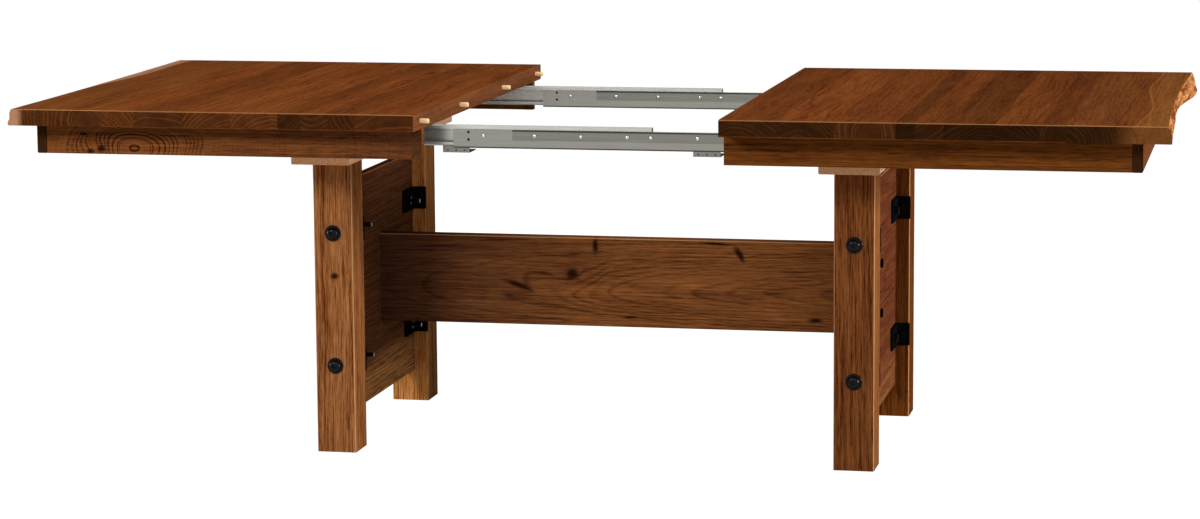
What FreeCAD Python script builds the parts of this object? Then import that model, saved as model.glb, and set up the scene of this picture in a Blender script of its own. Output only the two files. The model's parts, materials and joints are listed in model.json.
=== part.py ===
"""Extending dining table: two live-edge top halves that slide apart on a fixed trestle base.

Millimetres. +X runs along the table, +Y to the back, +Z up, with the origin on the floor under
the middle of the table. The halves are drawn pulled open, ready for the leaves.
"""
import FreeCAD, Part
import math
import os
import re
import Sketcher

Vector = FreeCAD.Vector
UPRIGHT = Vector(0, 0, 1)
STRAIGHT = FreeCAD.Rotation()
TURN_X = FreeCAD.Rotation(Vector(1, 0, 0), 180)
TURN_Y = FreeCAD.Rotation(Vector(0, 1, 0), 180)
TURN_Z = FreeCAD.Rotation(UPRIGHT, 180)
TO_BACK = FreeCAD.Rotation(Vector(1, 0, 0), -90)
TO_FRONT = FreeCAD.Rotation(Vector(1, 0, 0), 90)
TO_RIGHT = FreeCAD.Rotation(Vector(0, 1, 0), 90)
TO_LEFT = FreeCAD.Rotation(Vector(0, 1, 0), -90)

# Driving dimensions. Each one is a cell of the sheet, and the model is bound to the cells.
SIZES = {
    # Whole table
    "table_height": 762,
    "top_depth": 1168,
    "top_thickness": 35,
    "half_length": 914,
    "leaf_gap": 636,
    "edge_ease": 2,
    # Planks of the left half, from the inner end outwards
    "left_inner_width": 125,
    "left_plank_1_width": 57,
    "left_plank_2_width": 59,
    "left_plank_3_width": 50,
    "left_plank_4_width": 103,
    "left_plank_5_width": 103,
    "left_plank_6_width": 108,
    "left_plank_7_width": 71,
    # Planks of the right half, from the inner end outwards
    "right_inner_width": 118,
    "right_plank_1_width": 118,
    "right_plank_2_width": 123,
    "right_plank_3_width": 38,
    "right_plank_4_width": 58,
    "right_plank_5_width": 101,
    "right_plank_6_width": 89,
    "right_plank_7_width": 53,
    # How far the live edge lies inside the half's full length, from front to back
    "left_low_inset_1": 28,
    "left_low_inset_2": 24,
    "left_low_inset_3": 14,
    "left_low_inset_4": 0,
    "left_high_inset_1": 35,
    "left_high_inset_2": 32,
    "left_high_inset_3": 22,
    "left_high_inset_4": 9,
    "right_low_inset_1": 8,
    "right_low_inset_2": 14,
    "right_low_inset_3": 20,
    "right_low_inset_4": 25,
    "right_low_inset_5": 20,
    "right_low_inset_6": 1,
    "right_low_inset_7": 8,
    "right_high_inset_1": 15,
    "right_high_inset_2": 20,
    "right_high_inset_3": 23,
    "right_high_inset_4": 25,
    "right_high_inset_5": 23,
    "right_high_inset_6": 19,
    "right_high_inset_7": 15,
    # Leaf dowels and their sockets
    "dowel_diameter": 10,
    "dowel_proud": 19,
    "dowel_seat": 21,
    "dowel_tip": 2,
    "dowel_fit": 0.1,
    "dowel_edge": 56,
    "dowel_spacing": 334,
    "socket_clearance": 0.3,
    "socket_depth": 22,
    # Aprons
    "apron_height": 65,
    "apron_thickness": 22,
    "apron_setback": 65,
    "apron_reach": 845,
    # Trestles and stretcher
    "trestle_spacing": 1127,
    "leg_width": 86,
    "leg_inset": 72,
    "panel_thickness": 22,
    "panel_low": 72,
    "panel_top_gap": 54,
    "head_width": 127,
    "head_thickness": 25,
    "stretcher_low": 236,
    "stretcher_height": 198,
    "stretcher_thickness": 40,
    # Bolts through the legs into the panels
    "bolt_low": 190,
    "bolt_drop": 158,
    "bolt_diameter": 10,
    "bolt_head_diameter": 27,
    "bolt_head_height": 9,
    "bolt_length": 130,
    "bolt_clearance": 0.3,
    "washer_diameter": 35,
    "washer_thickness": 2.5,
    # Corner brackets and their fasteners
    "bracket_height": 51,
    "bracket_gauge": 5,
    "bracket_leg_flange": 33,
    "bracket_panel_flange": 89,
    "bracket_bolt_diameter": 10,
    "bracket_bolt_end": 20,
    "bracket_bolt_place": 60,
    "bracket_nut_height": 9,
    "bracket_nut_width": 20,
    "lag_diameter": 6,
    "lag_length": 32,
    "lag_head_height": 6,
    "lag_head_width": 16,
    "lag_place": 19,
    # Bolts that hold the stretcher to the panels
    "tie_bolt_diameter": 8,
    "tie_bolt_length": 70,
    "tie_bolt_head_diameter": 20,
    "tie_bolt_head_height": 5,
    "tie_bolt_spread": 110,
    # Screws that hold the head boards to the legs
    "head_screw_diameter": 6,
    "head_screw_length": 65,
    "head_screw_head_diameter": 13,
    "head_screw_head_height": 3,
    "head_screw_spread": 40,
    # Ball-bearing slides
    "slide_inset": 76,
    "slide_drop": 1,
    "channel_height": 44,
    "channel_depth": 16,
    "channel_lip": 8,
    "steel_gauge": 2,
    "channel_bend": 2.5,
    "left_rail_reach": 469,
    "right_rail_reach": 591,
    "rail_end_gap": 41,
    "plate_gap": 0.5,
    "plate_drop": 3.5,
    "plate_flange": 13.5,
    "plate_hole_diameter": 6,
    "plate_hole_place": 33,
    "plate_hole_spread": 16,
    "ball_diameter": 6,
    "ball_clearance": 0.3,
    "ball_spacing": 180,
    "ball_set_back": 1,
    "cage_length": 400,
    "cage_width": 9,
    "cage_gauge": 1,
    "cage_place": 13,
    # Angles that carry the left rails
    "angle_height": 24,
    "angle_flange": 30,
    "angle_start": 12,
    "angle_end_gap": 51,
    # Riveted strips that carry the right rails
    "strip_start": 128,
    "strip_low": 17,
    "strip_height": 22,
    "strip_end": 40,
    "strip_flange": 22,
    "strip_flange_start": 17,
    "rivet_diameter": 5,
    "rivet_head_diameter": 9,
    "rivet_head_height": 1.5,
    "rivet_rise": 10,
    "rivet_first": 48,
    "rivet_spacing": 98.5,
    "rivet_step": 50,
    # Screws that hold the rails to the top
    "rail_screw_diameter": 5,
    "rail_screw_length": 25,
    "rail_screw_head_diameter": 10,
    "rail_screw_head_height": 2.5,
    "live_screw_place": 22,
    # Tabs under the front slide
    "tab_length": 57.5,
    "tab_height": 14,
    "tab_flange": 55,
    "tab_hole_diameter": 4,
    "tab_hole_spacing": 18,
    "tab_hole_rise": 5,
    "tab_place": 22,
    # Guides that carry the rails on the head boards
    "guide_base_length": 110,
    "guide_base_thickness": 6,
    "guide_length": 70,
    "guide_width": 30,
    "guide_floor": 20,
    "guide_wall": 8,
    "guide_clearance": 0.3,
    "guide_screw_diameter": 4,
    "guide_screw_length": 24,
    "guide_screw_head_diameter": 9,
    "guide_screw_head_height": 3,
}

# Sizes and levels that follow from the driving dimensions.
WORKED_OUT = {
    "underside": "table_height - top_thickness",
    "half_gap": "leaf_gap / 2",
    "half_depth": "top_depth / 2",
    "dowel_hole": "dowel_diameter + 2 * dowel_fit",
    "dowel_socket": "dowel_diameter + 2 * socket_clearance",
    "dowel_outer_place": "half_depth - dowel_edge",
    "dowel_inner_place": "dowel_outer_place - dowel_spacing",
    "apron_low": "underside - apron_height",
    "apron_front": "half_depth - apron_setback",
    "slide_place": "apron_front - apron_thickness - slide_inset",
    "channel_low": "underside - slide_drop - channel_height",
    "ball_gap": "ball_diameter + 2 * ball_clearance",
    "plate_low": "channel_low - plate_drop",
    "plate_front": "channel_depth / 2 + plate_gap + steel_gauge",
    "lower_flange": "plate_drop + steel_gauge + ball_gap",
    "plate_height": "plate_drop + channel_height - steel_gauge - ball_gap",
    "head_low": "channel_low - guide_floor - head_thickness",
    "guide_low": "channel_low - guide_floor",
    "trestle_place": "trestle_spacing / 2",
    "leg_outer": "slide_place - leg_inset",
    "leg_inner": "leg_outer - leg_width",
    "head_length": "2 * slide_place + guide_width",
    "panel_height": "head_low - panel_top_gap - panel_low",
    "bolt_high": "head_low - bolt_drop",
    "panel_face": "trestle_place - panel_thickness / 2",
    "panel_back": "trestle_place + panel_thickness / 2",
    "bolt_hole": "bolt_diameter + 2 * bolt_clearance",
    "bracket_bolt_hole": "bracket_bolt_diameter + 2 * bolt_clearance",
    "lag_hole": "lag_diameter + 2 * bolt_clearance",
    "lag_reach": "panel_thickness / 2 + lag_place",
    "tie_bolt_hole": "tie_bolt_diameter + 2 * bolt_clearance",
    "stretcher_middle": "stretcher_low + stretcher_height / 2",
    "head_screw_hole": "head_screw_diameter + 2 * bolt_clearance",
    "left_rail_length": "left_rail_reach + apron_reach - apron_thickness - rail_end_gap",
    "right_rail_length": "right_rail_reach + apron_reach - apron_thickness - rail_end_gap",
    "left_rail_start": "left_rail_reach - half_gap - left_rail_length",
    "right_rail_start": "half_gap - right_rail_reach",
    "strip_x": "right_rail_start + strip_start",
    "strip_length": "right_rail_length - strip_start - strip_end",
    "strip_flange_x": "half_gap + strip_flange_start - strip_x",
    "strip_top": "underside - plate_low - strip_low",
    "angle_length": "apron_reach - apron_thickness - angle_start - angle_end_gap",
    "angle_x": "0 - half_gap - angle_start - angle_length",
    "screw_hole": "rail_screw_diameter + 2 * bolt_clearance",
    "guide_screw_hole": "guide_screw_diameter + 2 * bolt_clearance",
    "guide_screw_place": "(guide_base_length + guide_length) / 4",
    "cage_middle": "0 - half_gap + left_rail_reach - cage_place - cage_length / 2",
    "high_ball": "underside - slide_drop - steel_gauge - ball_gap / 2",
    "low_ball": "channel_low + steel_gauge + ball_gap / 2",
}

SIDES = {"left": -1, "right": 1}
PLANK_COUNT = 7
SCREWED_PLANKS = {"left": (0, 4, 6), "right": (0, 2, 5)}
LEG_BOLT_HEIGHTS = ("bolt_low", "bolt_high")
DOWEL_PLACES = (
    "0 - dowel_outer_place",
    "0 - dowel_inner_place",
    "dowel_inner_place",
    "dowel_outer_place",
)
SLIDE_SIDES = {"front": "0 - slide_place", "rear": "slide_place"}
RIVETS_BEFORE_STEP = 3
RIVETS_AFTER_STEP = 6
BALLS_PER_CAGE = 3
TAB_HOLES = 3
FEW_SIDES = 6
HOLE_SIDES = 8
HEAD_SIDES = 12
DOME_CROWN = (0, 0.4)
DOME_SHOULDER = (0.3, 0.78)
DOME_RIM = (1, 1)

doc = FreeCAD.newDocument("extending_table")
sheet = doc.addObject("Spreadsheet::Sheet", "sizes")
for row, (alias, value) in enumerate(SIZES.items(), start=1):
    sheet.set(f"A{row}", alias)
    sheet.set(f"B{row}", str(value))
    sheet.setAlias(f"B{row}", alias)
doc.recompute()

nodes = {}


def bound(text):
    """Write an expression on the sheet's cells from plain size names."""
    def swap(match):
        name = match.group()
        if name in WORKED_OUT:
            return f"({bound(WORKED_OUT[name])})"
        return f"sizes.{name}" if name in SIZES else name
    return re.sub(r"[a-z_][a-z_0-9]*", swap, text)


def number(text):
    """Give the present value of an expression."""
    return float(sheet.evalExpression(bound(text)))


def place(piece, corner, turn=STRAIGHT):
    """Bind a piece's position to the sheet, after any turn."""
    piece.Placement = FreeCAD.Placement(Vector(), turn)
    for axis, text in zip("xyz", corner):
        piece.setExpression(f"Placement.Base.{axis}", bound(text))


def node(label, piece):
    """Name a finished piece, which is written to a file of that name."""
    piece.Label = label
    nodes[label] = piece
    return piece


def new_body(label):
    """Start a piece that is modelled from sketches."""
    return doc.addObject("PartDesign::Body", label)


def sketch_on(body, role, offset="0"):
    """Start a sketch on one of a body's own planes."""
    sketch = body.newObject("Sketcher::SketchObject", "outline")
    support = next(item for item in body.Origin.OriginFeatures if item.Role == role)
    sketch.AttachmentSupport = [(support, "")]
    sketch.MapMode = "FlatFace"
    sketch.setExpression("AttachmentOffset.Base.z", bound(offset))
    return sketch


def pin(sketch, item, vertex, across, up):
    """Hold a sketch point at a bound distance from the origin, or on the axis where that is 0."""
    for kind, axis, text in (("DistanceX", -2, across), ("DistanceY", -1, up)):
        if text == "0":
            sketch.addConstraint(Sketcher.Constraint("PointOnObject", item, vertex, axis))
            continue
        held = sketch.addConstraint(Sketcher.Constraint(kind, -1, 1, item, vertex, number(text)))
        sketch.setExpression(f"Constraints[{held}]", bound(text))


def add_loop(sketch, points):
    """Add a closed loop of straight lines through bound points to a sketch."""
    first = sketch.GeometryCount
    corners = [Vector(number(across), number(up), 0) for across, up in points]
    for start, end in zip(corners, corners[1:] + corners[:1]):
        sketch.addGeometry(Part.LineSegment(start, end), False)
    for item in range(len(points)):
        after = first + (item + 1) % len(points)
        sketch.addConstraint(Sketcher.Constraint("Coincident", first + item, 2, after, 1))
    for item, (across, up) in enumerate(points, start=first):
        pin(sketch, item, 1, across, up)


def ring(diameter, sides, across="0", up="0", first=0):
    """List the bound corners of a regular outline."""
    corners = [first + 2 * math.pi * side / sides for side in range(sides)]
    return [
        (f"{across} + {math.cos(corner):.6f} * ({diameter}) / 2",
         f"{up} + {math.sin(corner):.6f} * ({diameter}) / 2")
        for corner in corners
    ]


def polygon(body, role, points, offset="0"):
    """Sketch a closed outline of straight lines through bound points."""
    sketch = sketch_on(body, role, offset)
    add_loop(sketch, points)
    return sketch


def rectangle(body, role, width, height, left="0", low="0", offset="0"):
    """Sketch a rectangle from its lower left corner."""
    right = width if left == "0" else f"{left} + {width}"
    high = height if low == "0" else f"{low} + {height}"
    return polygon(body, role, ((left, low), (right, low), (right, high), (left, high)), offset)


def pad(body, sketch, length, reverse=False):
    """Pull a sketch out to a solid."""
    feature = body.newObject("PartDesign::Pad", "pad")
    feature.Profile = sketch
    feature.setExpression("Length", bound(length))
    feature.Reversed = reverse
    return feature


def pocket(body, sketch, depth, reverse=False):
    """Cut a sketch into the solid, and make sure that it removes wood or metal."""
    doc.recompute()
    before = body.Shape.Volume
    feature = body.newObject("PartDesign::Pocket", "pocket")
    feature.Profile = sketch
    feature.setExpression("Length", bound(depth))
    feature.Reversed = reverse
    doc.recompute()
    if not body.Shape.Volume < before:
        raise RuntimeError(f"{body.Label}: a pocket cuts nothing")


def add_circle(sketch, across, up, diameter):
    """Add a circle of bound place and size to a sketch."""
    middle = Vector(number(across), number(up), 0)
    item = sketch.addGeometry(Part.Circle(middle, UPRIGHT, number(diameter) / 2), False)
    pin(sketch, item, 3, across, up)
    held = sketch.addConstraint(Sketcher.Constraint("Diameter", item, number(diameter)))
    sketch.setExpression(f"Constraints[{held}]", bound(diameter))


def bore(body, role, centres, diameter, depth, offset="0", reverse=False, sides=0):
    """Drill holes at bound centres: round ones, or with the few sides of a hidden shank."""
    sketch = sketch_on(body, role, offset)
    first = math.pi / 2 if role == "YZ_Plane" else 0
    for across, up in centres:
        if sides:
            add_loop(sketch, ring(diameter, sides, across, up, first))
        else:
            add_circle(sketch, across, up, diameter)
    pocket(body, sketch, depth, reverse)


def runs_along(axis):
    """Choose the straight edges that run along one axis."""
    def chosen(edge):
        if edge.Curve.TypeId != "Part::GeomLine":
            return False
        return abs(abs(getattr(edge.Curve.Direction, axis)) - 1) < 1e-6
    return chosen


def low_edges(axis):
    """Choose the edges along one axis that lie on the underside."""
    return lambda edge: runs_along(axis)(edge) and abs(edge.CenterOfMass.z) < 1e-6


def outer_bends(edge):
    """Choose the four outer corners of a channel that runs along X from the origin."""
    middle = edge.CenterOfMass
    corner = middle.y < 1e-6 or abs(middle.y - number("channel_depth")) < 1e-6
    level = middle.z < 1e-6 or abs(middle.z - number("channel_height")) < 1e-6
    return runs_along("x")(edge) and corner and level


def ease(body, chosen, size="edge_ease"):
    """Break the chosen edges of the piece made so far."""
    doc.recompute()
    base = body.Tip
    names = [f"Edge{i}" for i, edge in enumerate(base.Shape.Edges, start=1) if chosen(edge)]
    feature = body.newObject("PartDesign::Chamfer", "eased_edges")
    feature.Base = (base, names)
    feature.setExpression("Size", bound(size))


def board(label, corner, lengths, eased="", turn=STRAIGHT):
    """Make a rectangular board from its lowest corner, with the edges along some axes eased."""
    body = new_body(label)
    pad(body, rectangle(body, "XY_Plane", lengths[0], lengths[1]), lengths[2])
    place(body, corner, turn)
    if eased:
        ease(body, lambda edge: any(runs_along(axis)(edge) for axis in eased))
    return node(label, body)


def extrusion(label, points, length, corner):
    """Make a straight rolled section: an outline in Y and Z that runs along X."""
    body = new_body(label)
    pad(body, polygon(body, "YZ_Plane", points), length)
    place(body, corner)
    return node(label, body)


def prism(name, sides, diameter, height, low="0"):
    """Make an upright prism with a corner on +X."""
    solid = doc.addObject("Part::Prism", name)
    solid.Polygon = sides
    solid.setExpression("Circumradius", bound(f"{diameter} / 2"))
    solid.setExpression("Height", bound(height))
    solid.setExpression("Placement.Base.z", bound(low))
    return solid


def combine(kind, name, base, tool):
    """Join or cut two solids."""
    result = doc.addObject(kind, name)
    result.Base = base
    result.Tool = tool
    return result


def dome(name, diameter, height):
    """Make a bolt's domed head from flats, with its crown on the origin."""
    body = new_body(name)
    sections = []
    for level, share in (DOME_CROWN, DOME_SHOULDER, DOME_RIM):
        outline = ring(f"{share} * {diameter}", HEAD_SIDES)
        sections.append(polygon(body, "XY_Plane", outline, f"{level} * {height}"))
    cap = body.newObject("PartDesign::AdditiveLoft", "cap")
    cap.Profile = sections[0]
    cap.Sections = sections[1:]
    cap.Ruled = True
    return body


def stud(name, head_diameter, head_height, diameter, length, domed=False):
    """Make a fastener that points along +Z, with the outside of its head on the origin."""
    if domed:
        head = dome(f"{name}_head", head_diameter, head_height)
    else:
        head = prism(f"{name}_head", FEW_SIDES, head_diameter, head_height)
    shank = prism(f"{name}_shank", FEW_SIDES, diameter, length, head_height)
    return combine("Part::Fuse", name, head, shank)


def group(label, places):
    """Set copies of pattern pieces at bound places: one node of separate solids."""
    copies = []
    for pattern, corner, turn in places:
        copy = doc.addObject("App::Link", f"{label}_copy")
        copy.LinkedObject = pattern
        place(copy, corner, turn)
        copies.append(copy)
    compound = doc.addObject("Part::Compound", label)
    compound.Links = copies
    return node(label, compound)


def live_edge_plank(half, sign, joint, stations):
    """Make the outermost plank: a board whose outer side is cut back to the tree's own edge."""
    width = f"half_length - ({joint})"
    start = f"half_gap + {joint}" if sign > 0 else "0 - half_gap - half_length"
    plank = board(f"{half}_live_edge_plank", (start, "0 - half_depth", "underside"),
                  (width, "top_depth", "top_thickness"), "x")
    outer = number(width) if sign > 0 else 0
    clear = outer + sign * number("top_thickness")
    step = number("top_depth") / (stations - 1)
    sketches = []
    for line, offset in (("low", "0"), ("high", "top_thickness")):
        sketch = sketch_on(plank, "XY_Plane", offset)
        insets = [number(f"{half}_{line}_inset_{station}") for station in range(1, stations + 1)]
        grown = [Vector(outer - sign * inset, row * step, 0) for row, inset in enumerate(insets)]
        wave = Part.BSplineCurve()
        wave.interpolate(grown)
        before = grown[0] - Vector(0, step, 0)
        after = grown[-1] + Vector(0, step, 0)
        far, near = Vector(clear, after.y, 0), Vector(clear, before.y, 0)
        outline = [grown[-1], after, far, near, before, grown[0]]
        sketch.addGeometry(wave, False)
        for begin, end in zip(outline, outline[1:]):
            sketch.addGeometry(Part.LineSegment(begin, end), False)
        sketches.append(sketch)
    waste = plank.newObject("PartDesign::SubtractiveLoft", "bark_side")
    waste.Profile = sketches[0]
    waste.Sections = [sketches[1]]
    waste.Ruled = True


def finish_document():
    """Recompute, stop on any fault, and write one file for each piece."""
    doc.recompute()
    for item in doc.Objects:
        if "Invalid" in item.State or "Error" in item.State:
            raise RuntimeError(f"{item.Label} failed: {item.State}")
    for label, piece in nodes.items():
        if piece.Shape.isNull() or not piece.Shape.isValid():
            raise RuntimeError(f"{label} has no valid shape")
    os.makedirs("parts", exist_ok=True)
    for label, piece in nodes.items():
        piece.Shape.exportStep(f"parts/{label}.step")


# Top halves: planks, aprons and the parts fixed to them
screw_reaches = {}
for half, sign in SIDES.items():
    stations = sum(1 for alias in SIZES if alias.startswith(f"{half}_low_inset_"))
    widths = [f"{half}_inner_width"]
    widths += [f"{half}_plank_{count}_width" for count in range(1, PLANK_COUNT + 1)]
    names = [f"{half}_inner_plank"] + [f"{half}_plank_{count}" for count in range(1, PLANK_COUNT + 1)]
    reach = "0"
    screw_reaches[half] = []
    for count, (name, width) in enumerate(zip(names, widths)):
        near = f"half_gap + {reach}"
        if count in SCREWED_PLANKS[half]:
            screw_reaches[half].append(f"{reach} + {width} / 2")
        reach = f"{reach} + {width}" if count else width
        start = near if sign > 0 else f"0 - half_gap - ({reach})"
        plank = board(name, (start, "0 - half_depth", "underside"),
                      (width, "top_depth", "top_thickness"), "x")
        if name.endswith("inner_plank"):
            centres = [(f"half_depth + {spot}", "top_thickness / 2") for spot in DOWEL_PLACES]
            if sign < 0:
                bore(plank, "YZ_Plane", centres, "dowel_hole", "dowel_seat", offset=width)
            else:
                bore(plank, "YZ_Plane", centres, "dowel_socket", "socket_depth", reverse=True)
    live_edge_plank(half, sign, reach, stations)
    screw_reaches[half].append(f"{reach} + live_screw_place")

    block_room = "apron_thickness" if sign < 0 else "0"
    apron_length = f"apron_reach - apron_thickness - {block_room}"
    apron_x = "half_gap" if sign > 0 else "0 - half_gap - apron_reach + apron_thickness"
    for face, apron_y in (("front", "0 - apron_front"), ("back", "apron_front - apron_thickness")):
        apron = board(f"{half}_{face}_apron", (apron_x, apron_y, "apron_low"),
                      (apron_length, "apron_thickness", "apron_height"))
        ease(apron, low_edges("x"))
    end_x = "half_gap + apron_reach - apron_thickness" if sign > 0 else "0 - half_gap - apron_reach"
    apron = board(f"{half}_end_apron", (end_x, "0 - apron_front", "apron_low"),
                  ("apron_thickness", "2 * apron_front", "apron_height"))
    ease(apron, low_edges("y"))

dowel = new_body("dowel_pattern")
dowel_sketch = sketch_on(dowel, "XY_Plane")
add_circle(dowel_sketch, "0", "0", "dowel_diameter")
pad(dowel, dowel_sketch, "dowel_seat + dowel_proud")
ease(dowel, lambda edge: edge.isClosed() and edge.CenterOfMass.z > 0, "dowel_tip")
group("leaf_dowels", [
    (dowel, ("0 - half_gap - dowel_seat", spot, "underside + top_thickness / 2"), TO_RIGHT)
    for spot in DOWEL_PLACES
])

block = new_body("apron_block_pattern")
pad(block, rectangle(block, "XY_Plane", "apron_thickness", "apron_thickness"), "apron_height")
group("left_apron_blocks", [
    (block, ("0 - half_gap - apron_thickness", apron_y, "apron_low"), STRAIGHT)
    for apron_y in ("0 - apron_front", "apron_front - apron_thickness")
])

# Ball-bearing slides
channel_outline = (
    ("channel_depth", "0"),
    ("channel_depth", "channel_height"),
    ("0", "channel_height"),
    ("0", "channel_height - channel_lip"),
    ("steel_gauge", "channel_height - channel_lip"),
    ("steel_gauge", "channel_height - steel_gauge"),
    ("channel_depth - steel_gauge", "channel_height - steel_gauge"),
    ("channel_depth - steel_gauge", "steel_gauge"),
    ("steel_gauge", "steel_gauge"),
    ("steel_gauge", "channel_lip"),
    ("0", "channel_lip"),
    ("0", "0"),
)
plate_outline = (
    ("0", "0"),
    ("steel_gauge", "0"),
    ("steel_gauge", "lower_flange"),
    ("plate_flange", "lower_flange"),
    ("plate_flange", "lower_flange + steel_gauge"),
    ("steel_gauge", "lower_flange + steel_gauge"),
    ("steel_gauge", "plate_height - steel_gauge"),
    ("plate_flange", "plate_height - steel_gauge"),
    ("plate_flange", "plate_height"),
    ("0", "plate_height"),
)
rivet_reaches = [f"rivet_first + {count} * rivet_spacing" for count in range(RIVETS_BEFORE_STEP)]
rivet_reaches += [
    f"rivet_first + rivet_step + {count} * rivet_spacing"
    for count in range(RIVETS_BEFORE_STEP - 1, RIVETS_BEFORE_STEP - 1 + RIVETS_AFTER_STEP)
]
plate_middle = "(lower_flange + plate_height) / 2"
plate_holes = [
    ("plate_hole_place", f"{plate_middle} + {side} * plate_hole_spread / 2") for side in (-1, 1)
]

for face, slide_y in SLIDE_SIDES.items():
    rail = extrusion(f"left_{face}_rail", channel_outline, "left_rail_length",
                     ("left_rail_start", f"{slide_y} - channel_depth / 2", "channel_low"))
    ease(rail, outer_bends, "channel_bend")
    rail = extrusion(f"right_{face}_rail", plate_outline, "right_rail_length",
                     ("right_rail_start", f"{slide_y} - plate_front", "plate_low"))
    bore(rail, "XZ_Plane", plate_holes, "plate_hole_diameter", "steel_gauge", sides=HOLE_SIDES)

angle_outline = (
    ("0", "0"),
    ("steel_gauge", "0"),
    ("steel_gauge", "angle_height - steel_gauge"),
    ("angle_flange", "angle_height - steel_gauge"),
    ("angle_flange", "angle_height"),
    ("0", "angle_height"),
)
angle = new_body("angle_pattern")
pad(angle, polygon(angle, "YZ_Plane", angle_outline), "angle_length")
angle_screw_y = "(angle_flange + steel_gauge) / 2"
angle_screws = [f"angle_start + angle_length - ({reach})" for reach in screw_reaches["left"]]
angle_holes = [(along, angle_screw_y) for along in angle_screws]
bore(angle, "XY_Plane", angle_holes, "screw_hole", "angle_height", reverse=True, sides=FEW_SIDES)
group("left_rail_angles", [
    (angle, ("angle_x", f"{slide_y} + channel_depth / 2", "underside - angle_height"), STRAIGHT)
    for slide_y in SLIDE_SIDES.values()
])

strip = new_body("strip_pattern")
strip_near = "strip_flange - steel_gauge"
pad(strip, rectangle(strip, "YZ_Plane", "steel_gauge", "strip_height", left=strip_near), "strip_length")
flange_outline = (
    (strip_near, "0"),
    ("strip_flange", "0"),
    ("strip_flange", "strip_top"),
    ("0", "strip_top"),
    ("0", "strip_top - steel_gauge"),
    (strip_near, "strip_top - steel_gauge"),
)
pad(strip, polygon(strip, "YZ_Plane", flange_outline, "strip_flange_x"), "strip_length - strip_flange_x")
strip_screw_y = f"({strip_near}) / 2"
strip_screws = [(f"half_gap + {reach} - strip_x", strip_screw_y) for reach in screw_reaches["right"]]
bore(strip, "XY_Plane", strip_screws, "screw_hole", "strip_top", reverse=True, sides=FEW_SIDES)
group("right_rail_strips", [
    (strip, ("strip_x", f"{slide_y} - plate_front - strip_flange", "plate_low + strip_low"), STRAIGHT)
    for slide_y in SLIDE_SIDES.values()
])

rail_screw = stud("rail_screw_pattern", "rail_screw_head_diameter", "rail_screw_head_height",
                  "rail_screw_diameter", "rail_screw_length")
rail_screw_z = "underside - steel_gauge - rail_screw_head_height"
left_screws = []
right_screws = []
for slide_y in SLIDE_SIDES.values():
    angle_y = f"{slide_y} + channel_depth / 2"
    strip_y = f"{slide_y} - plate_front - strip_flange"
    for along, across in angle_holes:
        spot = (f"angle_x + {along}", f"{angle_y} + {across}", rail_screw_z)
        left_screws.append((rail_screw, spot, STRAIGHT))
    for along, across in strip_screws:
        spot = (f"strip_x + {along}", f"{strip_y} + {across}", rail_screw_z)
        right_screws.append((rail_screw, spot, STRAIGHT))
group("left_rail_screws", left_screws)
group("right_rail_screws", right_screws)

rivet = stud("rivet_pattern", "rivet_head_diameter", "rivet_head_height", "rivet_diameter",
             "2 * steel_gauge")
rivet_places = []
for slide_y in SLIDE_SIDES.values():
    for reach in rivet_reaches:
        rivet_places.append((rivet, (f"strip_x + {reach}",
                                     f"{slide_y} - plate_front - steel_gauge - rivet_head_height",
                                     "plate_low + strip_low + rivet_rise"), TO_BACK))
    rivet_places.append((rivet, ("right_rail_start + 2 * plate_hole_place",
                                 f"{slide_y} - plate_front - rivet_head_height",
                                 f"plate_low + {plate_middle}"), TO_BACK))
group("right_rail_rivets", rivet_places)

ball = doc.addObject("Part::MultiCommon", "ball_pattern")
ball_sides = []
for turn in (STRAIGHT, TO_BACK, TO_RIGHT):
    faceted = prism("ball_facets", HOLE_SIDES, "ball_diameter", "ball_diameter")
    place(faceted, [f"0 - {part} * ball_diameter / 2" for part in turn.multVec(UPRIGHT)], turn)
    ball_sides.append(faceted)
ball.Shapes = ball_sides
cage = new_body("cage_pattern")
pad(cage, rectangle(cage, "XY_Plane", "cage_length", "cage_width"), "cage_gauge")
ball_line = [f"{count - BALLS_PER_CAGE // 2} * ball_spacing" for count in range(BALLS_PER_CAGE)]
bore(cage, "XY_Plane", [(f"cage_length / 2 + {along}", "cage_width / 2") for along in ball_line],
     "ball_gap", "cage_gauge", reverse=True, sides=HOLE_SIDES)
race_levels = ("high_ball", "low_ball")
group("ball_cages", [
    (cage, ("cage_middle - cage_length / 2", f"{slide_y} - ball_set_back - cage_width / 2",
            f"{level} - cage_gauge / 2"), STRAIGHT)
    for slide_y in SLIDE_SIDES.values() for level in race_levels
])
group("bearing_balls", [
    (ball, (f"cage_middle + {along}", f"{slide_y} - ball_set_back", level), STRAIGHT)
    for slide_y in SLIDE_SIDES.values() for level in race_levels for along in ball_line
])

for half, sign in SIDES.items():
    tall = "tab_height" if sign < 0 else "tab_height - plate_drop"
    tab_x = "tab_place - half_gap" if sign < 0 else "half_gap - tab_place - tab_length"
    tab_y = "channel_depth / 2" if sign < 0 else "plate_front"
    tab_outline = (
        ("0", "0"),
        ("tab_flange", "0"),
        ("tab_flange", "steel_gauge"),
        ("steel_gauge", "steel_gauge"),
        ("steel_gauge", tall),
        ("0", tall),
    )
    tab = extrusion(f"{half}_rail_tab", tab_outline, "tab_length",
                    (tab_x, f"0 - slide_place - {tab_y}", "channel_low - tab_height"))
    tab_holes = [
        (f"tab_length / 2 + {count - TAB_HOLES // 2} * tab_hole_spacing", "tab_hole_rise")
        for count in range(TAB_HOLES)
    ]
    bore(tab, "XZ_Plane", tab_holes, "tab_hole_diameter", "steel_gauge", sides=HOLE_SIDES)

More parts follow.
